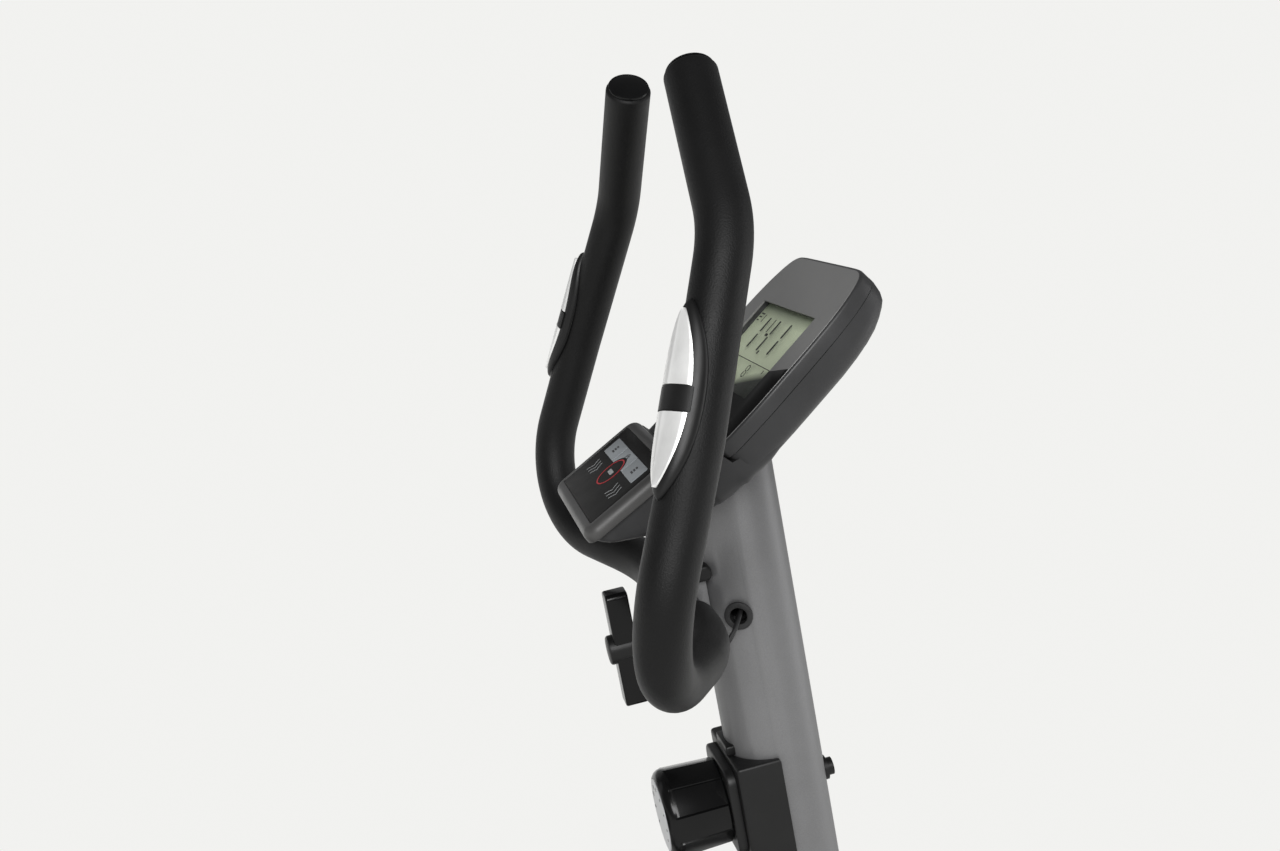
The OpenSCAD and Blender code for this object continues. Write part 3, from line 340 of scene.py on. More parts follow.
def lathe(name, place, profile, mat, segments=72, smooth_angle=35):
    """A turned piece: profile is (radius, height) in mm along the frame's Z."""
    rings = []
    for r, z in profile:
        rings.append([in_mm(place, polar(r, a, z)) for a in full_turn(segments)])
    return loft(name, rings, mat, smooth_angle=smooth_angle)


def tangents(points):
    last = len(points) - 1
    return [(points[min(i + 1, last)] - points[max(i - 1, 0)]).normalized() for i in range(last + 1)]


def sweep(name, points, radius_at, mat, segments=40, caps=True):
    """A round tube along points; radius_at(distance from start, whole length) gives its radius."""
    directions = tangents(points)
    side = directions[0].orthogonal().normalized()
    lengths = [0.0]
    for a, b in zip(points, points[1:]):
        lengths.append(lengths[-1] + (b - a).length)
    rings = []
    for point, direction, length in zip(points, directions, lengths):
        side = (side - direction * side.dot(direction)).normalized()
        other = direction.cross(side)
        r = radius_at(length, lengths[-1])
        rings.append([point + (side * math.cos(a) + other * math.sin(a)) * r for a in full_turn(segments)])
    return loft(name, rings, mat, caps, 60)


def offset(outline, inset):
    """A closed outline moved inwards, point by point."""
    if inset == 0:
        return list(outline)
    area = sum(a.x * b.y - b.x * a.y for a, b in zip(outline, outline[1:] + outline[:1]))
    turn = 1 if area > 0 else -1
    moved = []
    for i, p in enumerate(outline):
        before = (p - outline[i - 1]).normalized()
        after = (outline[(i + 1) % len(outline)] - p).normalized()
        n1 = Vector((-before.y, before.x)) * turn
        n2 = Vector((-after.y, after.x)) * turn
        mid = (n1 + n2).normalized()
        moved.append(p + mid * inset / max(mid.dot(n1), 0.5))
    return moved


def plate(name, place, outline, levels, mat, smooth_angle=35):
    """A flat piece: outline in mm, and levels of (height, inset) in mm from its back to its front."""
    rings = []
    for z, inset in levels:
        rings.append([in_mm(place, Vector((p.x, p.y, z))) for p in offset(outline, inset)])
    return loft(name, rings, mat, smooth_angle=smooth_angle)


def soft_edge(z0, z1, r, back=0.0, steps=4):
    """Levels of a plate from z0 to z1 whose front edge is rounded by r, and its back edge by back."""
    turns = [math.pi / 2 * i / steps for i in range(steps + 1)]
    lower = [(z0, 0)]
    if back:
        lower = [(z0 + back - back * math.sin(a), back - back * math.cos(a)) for a in reversed(turns)]
    upper = [(z1 - r + r * math.sin(a), r - r * math.cos(a)) for a in turns]
    return lower + upper


def corner(cx, cy, r, start, steps=8, sweep_deg=90):
    turn = [math.radians(start + sweep_deg * i / steps) for i in range(steps + 1)]
    return [Vector((cx, cy)) + polar(r, a).xy for a in turn]


def rounded(length, width, r, cx=0.0, cy=0.0, steps=8):
    """A rectangle with round corners, length along X and width along Y, in mm."""
    x = length / 2 - r
    y = width / 2 - r
    return (corner(cx + x, cy + y, r, 0, steps) + corner(cx - x, cy + y, r, 90, steps)
            + corner(cx - x, cy - y, r, 180, steps) + corner(cx + x, cy - y, r, 270, steps))


def span(p0, p1, p2, p3, count):
    """Points of a Catmull-Rom curve from p1 up to p2."""
    out = []
    for t in (k / count for k in range(count)):
        out.append(0.5 * (2 * p1 + (p2 - p0) * t + (2 * p0 - 5 * p1 + 4 * p2 - p3) * t * t
                          + (3 * p1 - p0 - 3 * p2 + p3) * t ** 3))
    return out


def smooth_curve(points, count):
    """A closed smooth curve through 2-D points."""
    out = []
    for i in range(len(points)):
        out += span(*(Vector(points[(i + j) % len(points)]) for j in (-1, 0, 1, 2)), count)
    return out


def carve(obj, cutter):
    """Takes cutter away from obj and removes it."""
    modifier = obj.modifiers.new("cut", "BOOLEAN")
    modifier.operation = "DIFFERENCE"
    modifier.object = cutter
    modifier.solver = "EXACT"
    apply_modifiers(obj)
    bpy.data.objects.remove(cutter)
    shade(obj, 35)


def apply_modifiers(obj):
    bpy.context.view_layer.update()
    done = bpy.data.meshes.new_from_object(obj.evaluated_get(bpy.context.evaluated_depsgraph_get()))
    obj.modifiers.clear()
    obj.data = done


def join(name, pieces):
    """Several pieces as one mesh, with their materials kept."""
    bm = bmesh.new()
    mats = []
    for piece in pieces:
        start = len(bm.faces)
        bm.from_mesh(piece.data)
        bm.faces.ensure_lookup_table()
        local = [slot.material for slot in piece.material_slots]
        for face in bm.faces[start:]:
            mat = local[face.material_index]
            if mat not in mats:
                mats.append(mat)
            face.material_index = mats.index(mat)
    first = pieces[0]
    first.data.materials.clear()
    for mat in mats:
        first.data.materials.append(mat)
    bm.to_mesh(first.data)
    bm.free()
    first.name = name
    for piece in pieces[1:]:
        bpy.data.objects.remove(piece)
    return first


def mirrored(points):
    return [Vector((p.x, -p.y, p.z)) for p in points]


def place_piece(piece, body, slot, *nodes):
    """Puts a piece on the body it rides on and hides the CAD nodes it stands for. The slot argument is not
    used.
    """
    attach(piece, body)
    if nodes:
        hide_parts(*nodes)
    return piece


# ---------------------------------------------------------------- handlebar

def filleted(points, bends, step=4.0):
    """Straight runs joined by arcs of the given radii, as points about step mm apart."""
    pts = [Vector(p) for p in points]
    line = [pts[0]]
    for i in range(1, len(pts) - 1):
        u = (pts[i] - pts[i - 1]).normalized()
        v = (pts[i + 1] - pts[i]).normalized()
        angle = u.angle(v)
        reach = bends[i] * math.tan(angle / 2)
        side = (v - u * v.dot(u)).normalized()
        start = pts[i] - u * reach
        centre = start + side * bends[i]
        count = max(4, int(bends[i] * angle / step))
        for k in range(count + 1):
            a = angle * k / count
            line.append(centre + (u * math.sin(a) - side * math.cos(a)) * bends[i])
    line.append(pts[-1])
    even = [line[0]]
    for a, b in zip(line, line[1:]):
        pieces = max(1, round((b - a).length / step))
        even.extend(a.lerp(b, k / pieces) for k in range(1, pieces + 1))
    return even


HALF_BAR = [BAR_MID + p * MM for p in filleted(BAR_POINTS, BAR_BENDS)]


def from_distance(points, distance):
    """The part of a line beyond a distance from its start."""
    run = 0.0
    for i, (a, b) in enumerate(zip(points, points[1:])):
        length = (b - a).length
        if run + length > distance:
            return [a.lerp(b, (distance - run) / length)] + points[i + 1:]
        run += length
    return points


def foam_radius(length, whole):
    """The foam is cut square at the bar's middle and rolls in a little at both ends."""
    bottom = 1.2 * MM * max(0, 1 - length / (1.6 * MM)) ** 2
    top = 1.6 * MM * max(0, 1 - (whole - length) / (2.4 * MM)) ** 2
    return GRIP_R - bottom - top


def with_fine_ends(points, step=0.6 * MM, count=5):
    """The line with extra points near both ends, where the foam rolls in."""
    first = (points[1] - points[0]).normalized()
    last = (points[-1] - points[-2]).normalized()
    head = [points[0] + first * step * k for k in range(1, count)]
    tail = [points[-1] - last * step * k for k in range(count - 1, 0, -1)]
    return [points[0]] + head + points[2:-2] + tail + [points[-1]]


def build_grip(side):
    line = with_fine_ends(from_distance(HALF_BAR, GRIP_START))
    if side == "right":
        line = mirrored(line)
    grip = sweep("foam_grip_" + side, line, foam_radius, FOAM, 56)
    place_piece(grip, "handlebar", "foam", "grip_" + side)


def build_bar():
    line = mirrored(HALF_BAR[:0:-1]) + HALF_BAR
    line = line[2:-2]
    bar = sweep("bar_tube", line, lambda length, whole: BAR_R, BAR_PAINT, 40)
    place_piece(bar, "handlebar", "bar_paint", "handlebar")


def build_end_plugs():
    """Slightly domed gloss caps, one in the top of each horn."""
    profile = [(0.4, -12), (11.0, -12), (11.0, 0.05), (14.2, 0.1), (14.9, 0.6), (15.0, 1.4), (14.6, 2.1),
               (13.7, 2.35), (13.0, 2.2), (12.4, 2.4), (9, 3.0), (5, 3.4), (1.5, 3.55), (0.2, 3.56)]
    caps = []
    for line in (HALF_BAR, mirrored(HALF_BAR)):
        direction = (line[-1] - line[-2]).normalized()
        place = facing(line[-1], direction, Vector((1, 0, 0)))
        caps.append(lathe("plug", place, profile, GLOSS, 64))
    place_piece(join("horn_end_caps", caps), "handlebar", "gloss_black", "end_plugs")


# ---------------------------------------------------------------- pulse sensors

SENSOR_LENGTH = 112.0
SENSOR_TURN = math.radians(-25)


def sensor_frame(mirror):
    """Z runs up the grip and X faces away from the sensor's plates."""
    place = facing(BAR_MID + SENSOR_MID, SENSOR_UP, Vector((1, 0, 0)))
    place = place @ Matrix.Rotation(SENSOR_TURN, 4, "Z")
    return Matrix.Scale(-1, 4, (0, 1, 0)) @ place if mirror else place


def lens_half(u, half, sharp):
    """Half-width of a pointed oval at u, from -1 at its lower tip to 1 at its upper tip."""
    return half * max(0.0, 1 - abs(u) ** sharp) ** 0.82


def sensor_skin(name, place, half_l, half_deg, height, mat, u0=-1.0, u1=1.0, rows=60, columns=28, floor=0.4,
                sharp=2.3):
    """A closed shell on the grip: height(u, v) in mm over the foam, v across it from -1 to 1."""
    verts = []
    faces = []
    for layer in (0, 1):
        for i in range(rows + 1):
            u = u0 + (u1 - u0) * i / rows
            half = math.radians(lens_half(u, half_deg, sharp))
            for j in range(columns + 1):
                v = -1 + 2 * j / columns
                a = math.pi + v * half
                rise = height(u, v) if layer else floor
                r = GRIP_R / MM + rise
                verts.append(in_mm(place, polar(r, a, u * half_l)))
    row = columns + 1
    size = row * (rows + 1)
    for i in range(rows):
        for j in range(columns):
            a = i * row + j
            faces.append((a, a + 1, a + row + 1, a + row))
            faces.append((size + a, size + a + row, size + a + row + 1, size + a + 1))
    rim = [i * row for i in range(rows + 1)] + [rows * row + j for j in range(1, row)]
    rim += [i * row + columns for i in range(rows - 1, -1, -1)] + list(range(columns - 1, 0, -1))
    for a, b in zip(rim, rim[1:] + rim[:1]):
        faces.append((a, size + a, size + b, b))
    obj = mesh_object(name, verts, faces, mat, 50)
    bm = bmesh.new()
    bm.from_mesh(obj.data)
    bmesh.ops.remove_doubles(bm, verts=bm.verts, dist=0.00002)
    bmesh.ops.recalc_face_normals(bm, faces=bm.faces)
    bm.to_mesh(obj.data)
    bm.free()
    shade(obj, 50)
    return obj


def case_height(u, v):
    """The case rises softly from the foam to a ridge round the plates."""
    edge = max(0.0, 1 - abs(v) ** 2.6) ** 0.55
    tip = max(0.0, 1 - abs(u) ** 6) ** 0.5
    return 0.5 + 4.7 * edge * tip


def plate_height(_, v):
    """Each plate is bent along a line, and its edges turn down into the case."""
    bend = 1.1 * max(0.0, 1 - abs(v - 0.15) * 1.1)
    edge = 0.9 * max(0.0, abs(v) - 0.86) / 0.14
    return 5.2 + bend - edge


def build_sensors():
    cases = []
    plates = []
    for mirror in (False, True):
        place = sensor_frame(mirror)
        cases.append(sensor_skin("case", place, SENSOR_LENGTH / 2, 62, case_height, SATIN))
        band = sensor_skin("band", place, 48, 41, lambda u, v: 5.9 - 0.5 * v * v, SATIN, -0.15, 0.13, 12, 20)
        cases.append(band)
        for u0, u1 in ((-0.985, -0.16), (0.14, 0.985)):
            plates.append(sensor_skin("plate", place, 50, 38, plate_height, PLATE_STEEL, u0, u1, 40, 24, 2.0))
    place_piece(join("pulse_sensor_cases", cases), "handlebar", "black_plastic", "sensor_cases")
    place_piece(join("pulse_sensor_plates", plates), "handlebar", "polished_steel", "sensor_plates")


# ---------------------------------------------------------------- console

# Half of the console's outline seen square to its face, from the middle of its top edge, in mm
FACE_SIDE = [(0, 0), (0, 30), (-0.2, 56), (-1.5, 66), (-5, 73), (-10, 77.5), (-17, 81.3), (-27, 85),
             (-42, 88), (-62, 89.5), (-86, 90), (-112, 90), (-134, 88.2), (-144, 86), (-149, 82), (-150, 74),
             (-150, 40)]
# Depth of the back shell below the face at places down the face, in mm
SHELL_DEPTH = [(2, 15), (1, 20), (-2, 24), (-6, 29), (-14, 33), (-26, 37), (-40, 39), (-60, 40), (-150, 40)]
# Depth and half width of the shell below the keypad, at places up the keypad (negative), in mm
BELLY_DEPTH = [(-4, 14), (-9, 19.5), (-16, 25), (-34, 37), (-53.5, 46), (-72.5, 51), (-94.5, 51.3),
               (-124, 46.4), (-137.5, 41.5)]
BELLY_HALF = [(-4, 56), (-6, 61), (-12, 66.6), (-64, 67.7), (-98, 83.6), (-124, 86), (-137.5, 84.5)]
SEAM = 11.0


def face_outline():
    half = [Vector(p) for p in FACE_SIDE]
    other = [Vector((p.x, -p.y)) for p in half[:0:-1]]
    return smooth_curve(half + [Vector((-150, 0))] + other, 5)


def level_at(table, x):
    """Straight-line value of a table of (x, value), whose x falls."""
    for (x0, a), (x1, b) in zip(table, table[1:]):
        if x >= x1:
            return a + (b - a) * min(1, max(0, (x0 - x) / (x0 - x1)))
    return table[-1][1]


def half_width(x):
    return level_at([p for p in FACE_SIDE[2:-1]], x)


def bowl_ring(place, x, half, top, bottom, power=0.52, steps=14):
    """One cross-section of a boat-shaped shell: flat on top, rounded below."""
    ring = []
    for i in range(2 * steps + 1):
        a = math.pi * i / (2 * steps)
        y = half * math.copysign(abs(math.cos(a)) ** power, math.cos(a))
        z = top - (top - bottom) * math.sin(a) ** power
        ring.append(in_mm(place, Vector((x, y, z))))
    return ring


def build_console_back():
    rings = [bowl_ring(FACE_FRAME, 2.0, 42, -SEAM - 2.5, -17)]
    for x in (1.4, 0.4, -1, -3, -6, -10, -16, -24, -34, -46, -60, -76, -92, -108, -122, -134, -142, -147,
              -150):
        half = half_width(min(x, -1)) - (0.35 if x < 0 else 1.5 + 9 * x)
        rings.append(bowl_ring(FACE_FRAME, x, half, -SEAM, -level_at(SHELL_DEPTH, x), 0.5))
    back = loft("shell_back", rings, SHELL, smooth_angle=50)
    rings = []
    for x in (4, 5, 7, 10, 14, 20, 28, 38, 50, 62, 72, 80, 81.8, 84, 92, 101.5, 103.6, 112, 124, 134, 137.5):
        top = -10.2 if x < 81 else -16.2 if x < 102 else -23.6 - 6.4 * (x - 103.6) / 33.9
        power = 0.34 + 0.16 * min(1, max(0, (x - 50) / 50))
        half = level_at(BELLY_HALF, -x)
        rings.append(bowl_ring(KEY_FRAME, x, half, top, -level_at(BELLY_DEPTH, -x), power))
    belly = loft("shell_belly", rings, SHELL, smooth_angle=50)
    bosses = []
    head = [(0.3, -0.4), (3.0, -0.4), (3.6, 0.0), (3.6, 0.5), (3.2, 0.9), (1.4, 0.9), (1.2, 0.4), (0.3, 0.4)]
    flip = Matrix.Rotation(math.pi, 4, "X")
    for y in (-50, 50):
        place = FACE_FRAME @ Matrix.Translation(Vector((-128, y, -41)) * MM) @ flip
        bosses.append(lathe("shell_screw", place, head, GLOSS, 24))
    place_piece(join("console_back_shell", [back, belly] + bosses), "frame", "black_plastic", "console_back")


def lcd_cutter(grow=0.0):
    outline = rounded(LCD_LENGTH / MM + grow, 2 * LCD_HALF / MM + grow, 1.5, -(LCD_TOP + LCD_LENGTH / 2) / MM)
    return plate("cutter", FACE_FRAME, outline, [(-25, 0), (12, 0)], GLOSS)


def gloss_and_shade_edge(y):
    """Where the gloss black foot of the face begins, in mm down from the top edge; the foot is partly painted
    shade, on the same curve as the display's painted shade.
    """
    return -109 + 28 * (abs(y) / 90) ** 0.85


def build_console_face():
    outline = face_outline()
    levels = [(-SEAM + 0.25, 0.6), (-SEAM + 0.7, 0.05), (-2.2, 0.0), (-1.2, 0.3), (-0.5, 0.9), (-0.3, 1.5)]
    rim = plate("console_rim", FACE_FRAME, outline, levels, RIM, 50)
    carve(rim, lcd_cutter(2))
    levels = [(-1.4, 2.0), (-0.35, 2.0), (-0.1, 2.15), (0, 2.5)]
    inlay = plate("face_inlay", FACE_FRAME, outline, levels, FACE)
    carve(inlay, lcd_cutter())
    rows = 40
    # the face's black foot: partly real black gloss, partly painted shade over the face's lower part
    lower = [Vector((gloss_and_shade_edge(y), y)) for y in (-86.6 + 173.2 * i / rows for i in range(rows + 1))]
    foot = [p for p in offset(outline, 2.6) if p.x < gloss_and_shade_edge(p.y) - 1]
    foot.sort(key=lambda p: math.atan2(p.y, -p.x - 100))
    gloss = plate("face_gloss_and_shade", FACE_FRAME, lower + foot[::-1], [(-1, 0), (0.12, 0.0), (0.2, 0.15)], FOOT_BLACK_AND_SHADE)
    carve(gloss, lcd_cutter())
    piece = join("console_face_panel", [rim, inlay, gloss])
    place_piece(piece, "frame", "face_grey", "console_face")


# Dark bars of the display: places of one end along the face and across it, the other end, width, in mm
BARS = [(-53, 24, -65.6, 24, 3.0), (-67.8, 24, -80, 24, 3.0), (-53, 11.5, -64.5, 11.5, 1.5),
        (-66, 9.4, -66, 3.8, 2.2), (-52.8, 1, -65, 1, 3.0), (-67.2, 1, -79.4, 1, 3.0),
        (-52.6, -24, -64.6, -24, 3.0), (-66.8, -24, -79, -24, 3.0), (-88, 58.5, -88, -58.5, 0.6),
        (-91.4, -10, -95.2, -10, 1.1), (-96.2, -10, -100, -10, 1.1), (-91.4, -15.2, -95.2, -15.2, 1.1),
        (-96.2, -15.2, -100, -15.2, 1.1), (-91, -11, -91, -14.2, 1.1), (-100.4, -11, -100.4, -14.2, 1.1),
        (-95.7, -11, -95.7, -14.2, 0.9), (-89.6, -43, -92.6, -43, 1.1), (-91.4, 20, -95.2, 20, 1.1),
        (-96.2, 20, -99.6, 20, 1.1), (-52, 50, -52, 42, 1.1), (-55, 50, -55, 44, 1.1), (-58, 50, -58, 46,
                                                                                        1.1),
        (-52, 38, -59, 38, 1.1)]
BAR_LEVELS = [(-2.58, 0), (-2.46, 0)]


def build_display():
    pieces = []
    for x0, y0, x1, y1, width in BARS:
        size = (abs(x1 - x0), width) if x0 != x1 else (width, abs(y1 - y0))
        outline = rounded(*size, width * 0.3, (x0 + x1) / 2, (y0 + y1) / 2, 2)
        pieces.append(plate("bar", FACE_FRAME, outline, BAR_LEVELS, SEGMENT))
    pieces.append(plate("dot", FACE_FRAME, rounded(3, 3, 1, -80, -5, 3), BAR_LEVELS, SEGMENT))
    place_piece(join("display_segments", pieces), "frame", "lcd")


def display_material():
    """A green-grey display with a painted shadow under its upper edge, and painted shade that fades it to
    black at its foot.
    """
    mat = surface("display_panel", (0.78, 0.87, 0.62), 0.45, grain=900, grain_depth=0.000004, vary=0.05,
                  cloud=30)
    tree = mat.node_tree
    shader = tree.nodes["Principled BSDF"]
    coords = tree.nodes["Texture Coordinate"].outputs["Object"]
    down = tree.nodes.new("ShaderNodeVectorMath")
    down.operation = "DOT_PRODUCT"
    up_face = FACE_FRAME.to_3x3() @ Vector((1, 0, 0))
    down.inputs[1].default_value = up_face
    tree.links.new(coords, down.inputs[0])
    start = FACE_FRAME.translation.dot(up_face)
    split = tree.nodes.new("ShaderNodeSeparateXYZ")
    tree.links.new(coords, split.inputs[0])
    value = split.outputs["Y"]
    for operation, number in (("ABSOLUTE", 0), ("DIVIDE", 0.090), ("POWER", 0.85), ("MULTIPLY", -0.028)):
        step = tree.nodes.new("ShaderNodeMath")
        step.operation = operation
        step.inputs[1].default_value = number
        tree.links.new(value, step.inputs[0])
        value = step.outputs[0]
    curve = tree.nodes.new("ShaderNodeMath")
    tree.links.new(value, curve.inputs[0])
    tree.links.new(down.outputs["Value"], curve.inputs[1])
    # painted shade: below the curve of the face's black foot the display is faded to black
    fade = remap(tree, curve.outputs[0], start - 0.1100, start - 0.1020, 0, 1)
    # painted shadow: the display is darkened under its upper edge, where the face's edge shades it
    shadow = remap(tree, down.outputs["Value"], start - 0.055, start - 0.0435, 0, 0.75)
    colour = shader.inputs["Base Color"].links[0].from_socket
    for factor, tint in ((fade, (0.008, 0.012, 0.006, 1)), (shadow, (0.03, 0.055, 0.02, 1))):
        mix = tree.nodes.new("ShaderNodeMix")
        mix.data_type = "RGBA"
        tree.links.new(factor, mix.inputs["Factor"])
        first, second = [entry for entry in mix.inputs if entry.type == "RGBA"]
        if factor is shadow:
            first, second = second, first
        first.default_value = tint
        tree.links.new(colour, second)
        colour = [result for result in mix.outputs if result.type == "RGBA"][0]
    tree.links.new(colour, shader.inputs["Base Color"])
    return mat


# ---------------------------------------------------------------- keypad

STRIP_X = 53.0
STRIP_STEP = 35.0
OVAL_X = 40.0
OVAL_HALF = (13.6, 14.4)


def ellipse(cx, cy, a, b, count=56, start=0.0, whole=360.0):
    turn = [math.radians(start + whole * k / count) for k in range(count + (whole < 360))]
    return [Vector((cx + a * math.cos(t), cy + b * math.sin(t))) for t in turn]


def key_outline(index, grow):
    """A button's outline; the middle one has an arch at its lower edge."""
    half_x = 7.3 + grow
    half_y = 16.8 + grow
    if index:
        return rounded(2 * half_x, 2 * half_y, 1.2, STRIP_X, index * STRIP_STEP, 4)
    low = STRIP_X - half_x
    a = OVAL_HALF[0] + 0.9 - grow
    b = OVAL_HALF[1] + 0.9 - grow
    start = math.degrees(math.asin(min(1, (low - OVAL_X) / a)))
    reach = 90 - start
    arch = [Vector((OVAL_X + a * math.sin(math.radians(t)), b * math.cos(math.radians(t)) * s))
            for s, turns in ((1, [start + reach * k / 12 for k in range(13)]),
                             (-1, [90 - reach * k / 12 for k in range(1, 13)])) for t in turns]
    top = STRIP_X + half_x
    corners = [Vector(p) for p in ((low, -half_y), (top, -half_y), (top, half_y))]
    return [Vector((low, half_y)), *arch, *corners]


def stroke(points, width):
    """The outline of a thin line through points."""
    left = []
    right = []
    for i, p in enumerate(points):
        d = (points[min(i + 1, len(points) - 1)] - points[max(i - 1, 0)]).normalized()
        n = Vector((-d.y, d.x)) * width / 2
        left.append(p + n)
        right.append(p - n)
    return left + right[::-1]


def print_mark(outline, mat, z):
    return plate("mark", KEY_FRAME, outline, [(z - 0.06, 0), (z + 0.06, 0)], mat)


def printed_ring(mat, z):
    """The ring round the keypad's oval key."""
    levels = []
    for grow, height in ((0, -0.05), (0, 0.08), (-1.1, 0.08), (-1.1, -0.05)):
        line = ellipse(OVAL_X, 0, OVAL_HALF[0] - 1.2 + grow, OVAL_HALF[1] - 1.2 + grow)
        levels.append([KEY_FRAME @ (Vector((p.x, p.y, z + height)) * MM) for p in line])
    return loft("ring", levels, mat, loop=True)


def wave(cy):
    """Three short bent lines beside the oval key."""
    marks = []
    for i in (-1, 0, 1):
        line = []
        for t in (-1 + k / 6 for k in range(13)):
            line.append(Vector((33.6 + 5.8 * t, cy + 6.5 * i - 4 * (1 - abs(t)) ** 1.4)))
        marks.append(print_mark(stroke(line, 0.6), PRINT_GREY, -0.12))
    return marks


def build_keypad():
    outline = rounded(KEY_LENGTH / MM, 2 * KEY_HALF / MM, 10.5, KEY_LENGTH / MM / 2, 0, 10)
    levels = [(-9.9, 0.6), (-9.3, 0.0), (-5.4, 0.0), (-3.8, 0.5), (-2.2, 1.4), (-1.0, 2.8), (-0.4, 4.0),
              (-0.1, 5.2), (0, 6.6), (0, 8.2), (-0.15, 8.8), (-0.8, 9.1), (-3.2, 9.2)]
    bezel = plate("keypad_bezel", KEY_FRAME, outline, levels, BEZEL, 50)
    place_piece(bezel, "frame", "face_grey", "keypad_frame")
    film = plate("keypad_membrane", KEY_FRAME, outline, [(-1.1, 9.25), (-0.25, 9.25), (-0.18, 9.35)], FILM)
    for index in (-1, 0, 1):
        carve(film, plate("cutter", KEY_FRAME, key_outline(index, 0.3), [(-9, 0), (5, 0)], FILM))
    marks = [printed_ring(PRINT_RED, -0.12)]
    marks += wave(38) + wave(-38)
    for dy in (-4.2, -1.4, 1.4, 4.2):
        marks.append(print_mark(rounded(3.5, 2.2, 0.4, OVAL_X, dy, 2), PRINT_GREY, -0.12))
    place_piece(join("keypad_membrane", [film] + marks), "frame", "keypad_black", "keypad_film")
    for index, side in ((1, "left"), (0, "middle"), (-1, "right")):
        levels = [(-1.5, 0), (0.0, 0), (0.14, 0.12), (0.2, 0.35)]
        key = plate("key", KEY_FRAME, key_outline(index, 0), levels, SILVER_KEY)
        y = index * STRIP_STEP
        icons = []
        if index:
            for i in range(3):
                bar = rounded(1.5, 6.0 - 0.9 * i, 0.3, STRIP_X - 2.3 + 2.3 * i, y, 2)
                icons.append(print_mark(bar, PRINT_DARK, 0.2))
        else:
            for lift in (0, 1.6):
                line = [Vector((STRIP_X + 1.2 + lift, 3.6)), Vector((STRIP_X + 3.6 + lift, 0)),
                        Vector((STRIP_X + 1.2 + lift, -3.6))]
                icons.append(print_mark(stroke(line, 0.8), PRINT_DARK, 0.2))
        place_piece(join("key_" + side, [key] + icons), "button_" + side, "key_grey", "button_" + side)


# ---------------------------------------------------------------- clamp and knobs

def build_clamp_knob():
    """A flat T handle on a round hub."""
    arm = plate("arm", CLAMP_FRAME, rounded(84, 18, 4, steps=6), soft_edge(35, 51, 1.6, 1.2), GLOSS)
    profile = [(0.3, 32), (9.3, 32), (10.5, 33), (10.5, 53.6), (10.1, 54.7), (9.0, 55.4), (0.3, 55.6)]
    hub = lathe("hub", CLAMP_FRAME, profile, SATIN, 64)
    stem = lathe("stem", CLAMP_FRAME, [(0.3, 4.5), (8, 4.5), (8, 32.5), (0.3, 32.5)], SATIN, 48)
    screw = lathe("screw", CLAMP_FRAME, [(0.3, -12), (3.4, -12), (4, -11.2), (4, 5), (0.3, 5)], STEEL, 32)
    place_piece(join("clamp_t_knob", [arm, hub, stem, screw]), "clamp_knob", "gloss_black", "clamp_knob")


def build_clamp_cover():
    """Two moulded blocks round the bar, with the steel clamp showing between them."""
    lean = facing(BAR_MID, Vector((0, 1, 0)), POST_UP)
    blocks = []
    for x0, x1 in ((-44, -18.7), (18.7, 30)):
        outline = rounded(x1 - x0, 37, 4.5, (x0 + x1) / 2, 4.5, 6)
        blocks.append(plate("block", lean, outline, soft_edge(-29, 29, 2.2, 2.2), SATIN))
    rear = rounded(74, 3.4, 1.2, -7, 21.3, 4)
    blocks.append(plate("block", lean, rear, soft_edge(-29, 29, 1.0, 1.0), SATIN))
    cover = join("clamp_shroud", blocks)
    cutter = lathe("cutter", CLAMP_FRAME, [(0.1, -60), (9, -60), (9, 60), (0.1, 60)], SATIN, 48)
    carve(cover, cutter)
    place_piece(cover, "frame", "gloss_black", "clamp_cover")


KNOB_PANELS = 10
KNOB_POINTS = 240


def knob_ring(z, inset):
    """A round of panels with a narrow groove between each two."""
    ring = []
    for a in full_turn(KNOB_POINTS):
        part = (a * KNOB_PANELS / (2 * math.pi)) % 1 - 0.5
        flat = math.cos(math.pi / KNOB_PANELS) / math.cos(part * 2 * math.pi / KNOB_PANELS)
        groove = max(0.0, 1 - (0.5 - abs(part)) / 0.035)
        r = (33 - inset) * (1 - 0.55 * (1 - flat)) - 1.1 * groove
        ring.append(in_mm(KNOB_FRAME, polar(r, a, z)))
    return ring


def round_ring(z, r):
    return [in_mm(KNOB_FRAME, polar(r, a, z)) for a in full_turn(KNOB_POINTS)]


def build_resistance_knob():
    rings = [round_ring(10.5, 4), round_ring(10.5, 24)]
    for place in ((10.5, 2.6), (11, 2.0), (11.6, 1.7), (47, 0.2), (48.5, 0.0), (49.2, 0.2)):
        rings.append(knob_ring(*place))
    for place in ((50.2, 32.0), (52.0, 31.6), (54.4, 30.2), (55.8, 28.4), (56.35, 27.6), (56.4, 26.8),
                  (56.0, 26.6), (55.6, 26.5), (55.6, 4)):
        rings.append(round_ring(*place))
    knob = loft("knob", rings, GLOSS, smooth_angle=28)
    stem = lathe("stem", KNOB_FRAME, [(0.3, 1), (4, 1), (4, 12), (0.3, 12)], SATIN, 32)
    place_piece(join("tension_knob", [knob, stem]), "resistance_knob", "gloss_black", "resistance_knob")
    profile = [(0.3, 55.7), (26.3, 55.7), (26.3, 56.5), (26.0, 56.8), (0.3, 57.0)]
    disc = lathe("tension_label", KNOB_FRAME, profile, LABEL, 96)
    marks = []
    for k in range(9):
        a = math.radians(-130 + 260 * k / 8)
        turned = KNOB_FRAME @ Matrix.Rotation(a, 4, "Z")
        outline = rounded(2.0 + 0.35 * k, 1.2, 0.4, 20, 0, 2)
        marks.append(plate("tick", turned, outline, [(56.8, 0), (57.02, 0)], PRINT_DARK))
    place_piece(join("tension_label", [disc] + marks), "resistance_knob", "label", "knob_label")


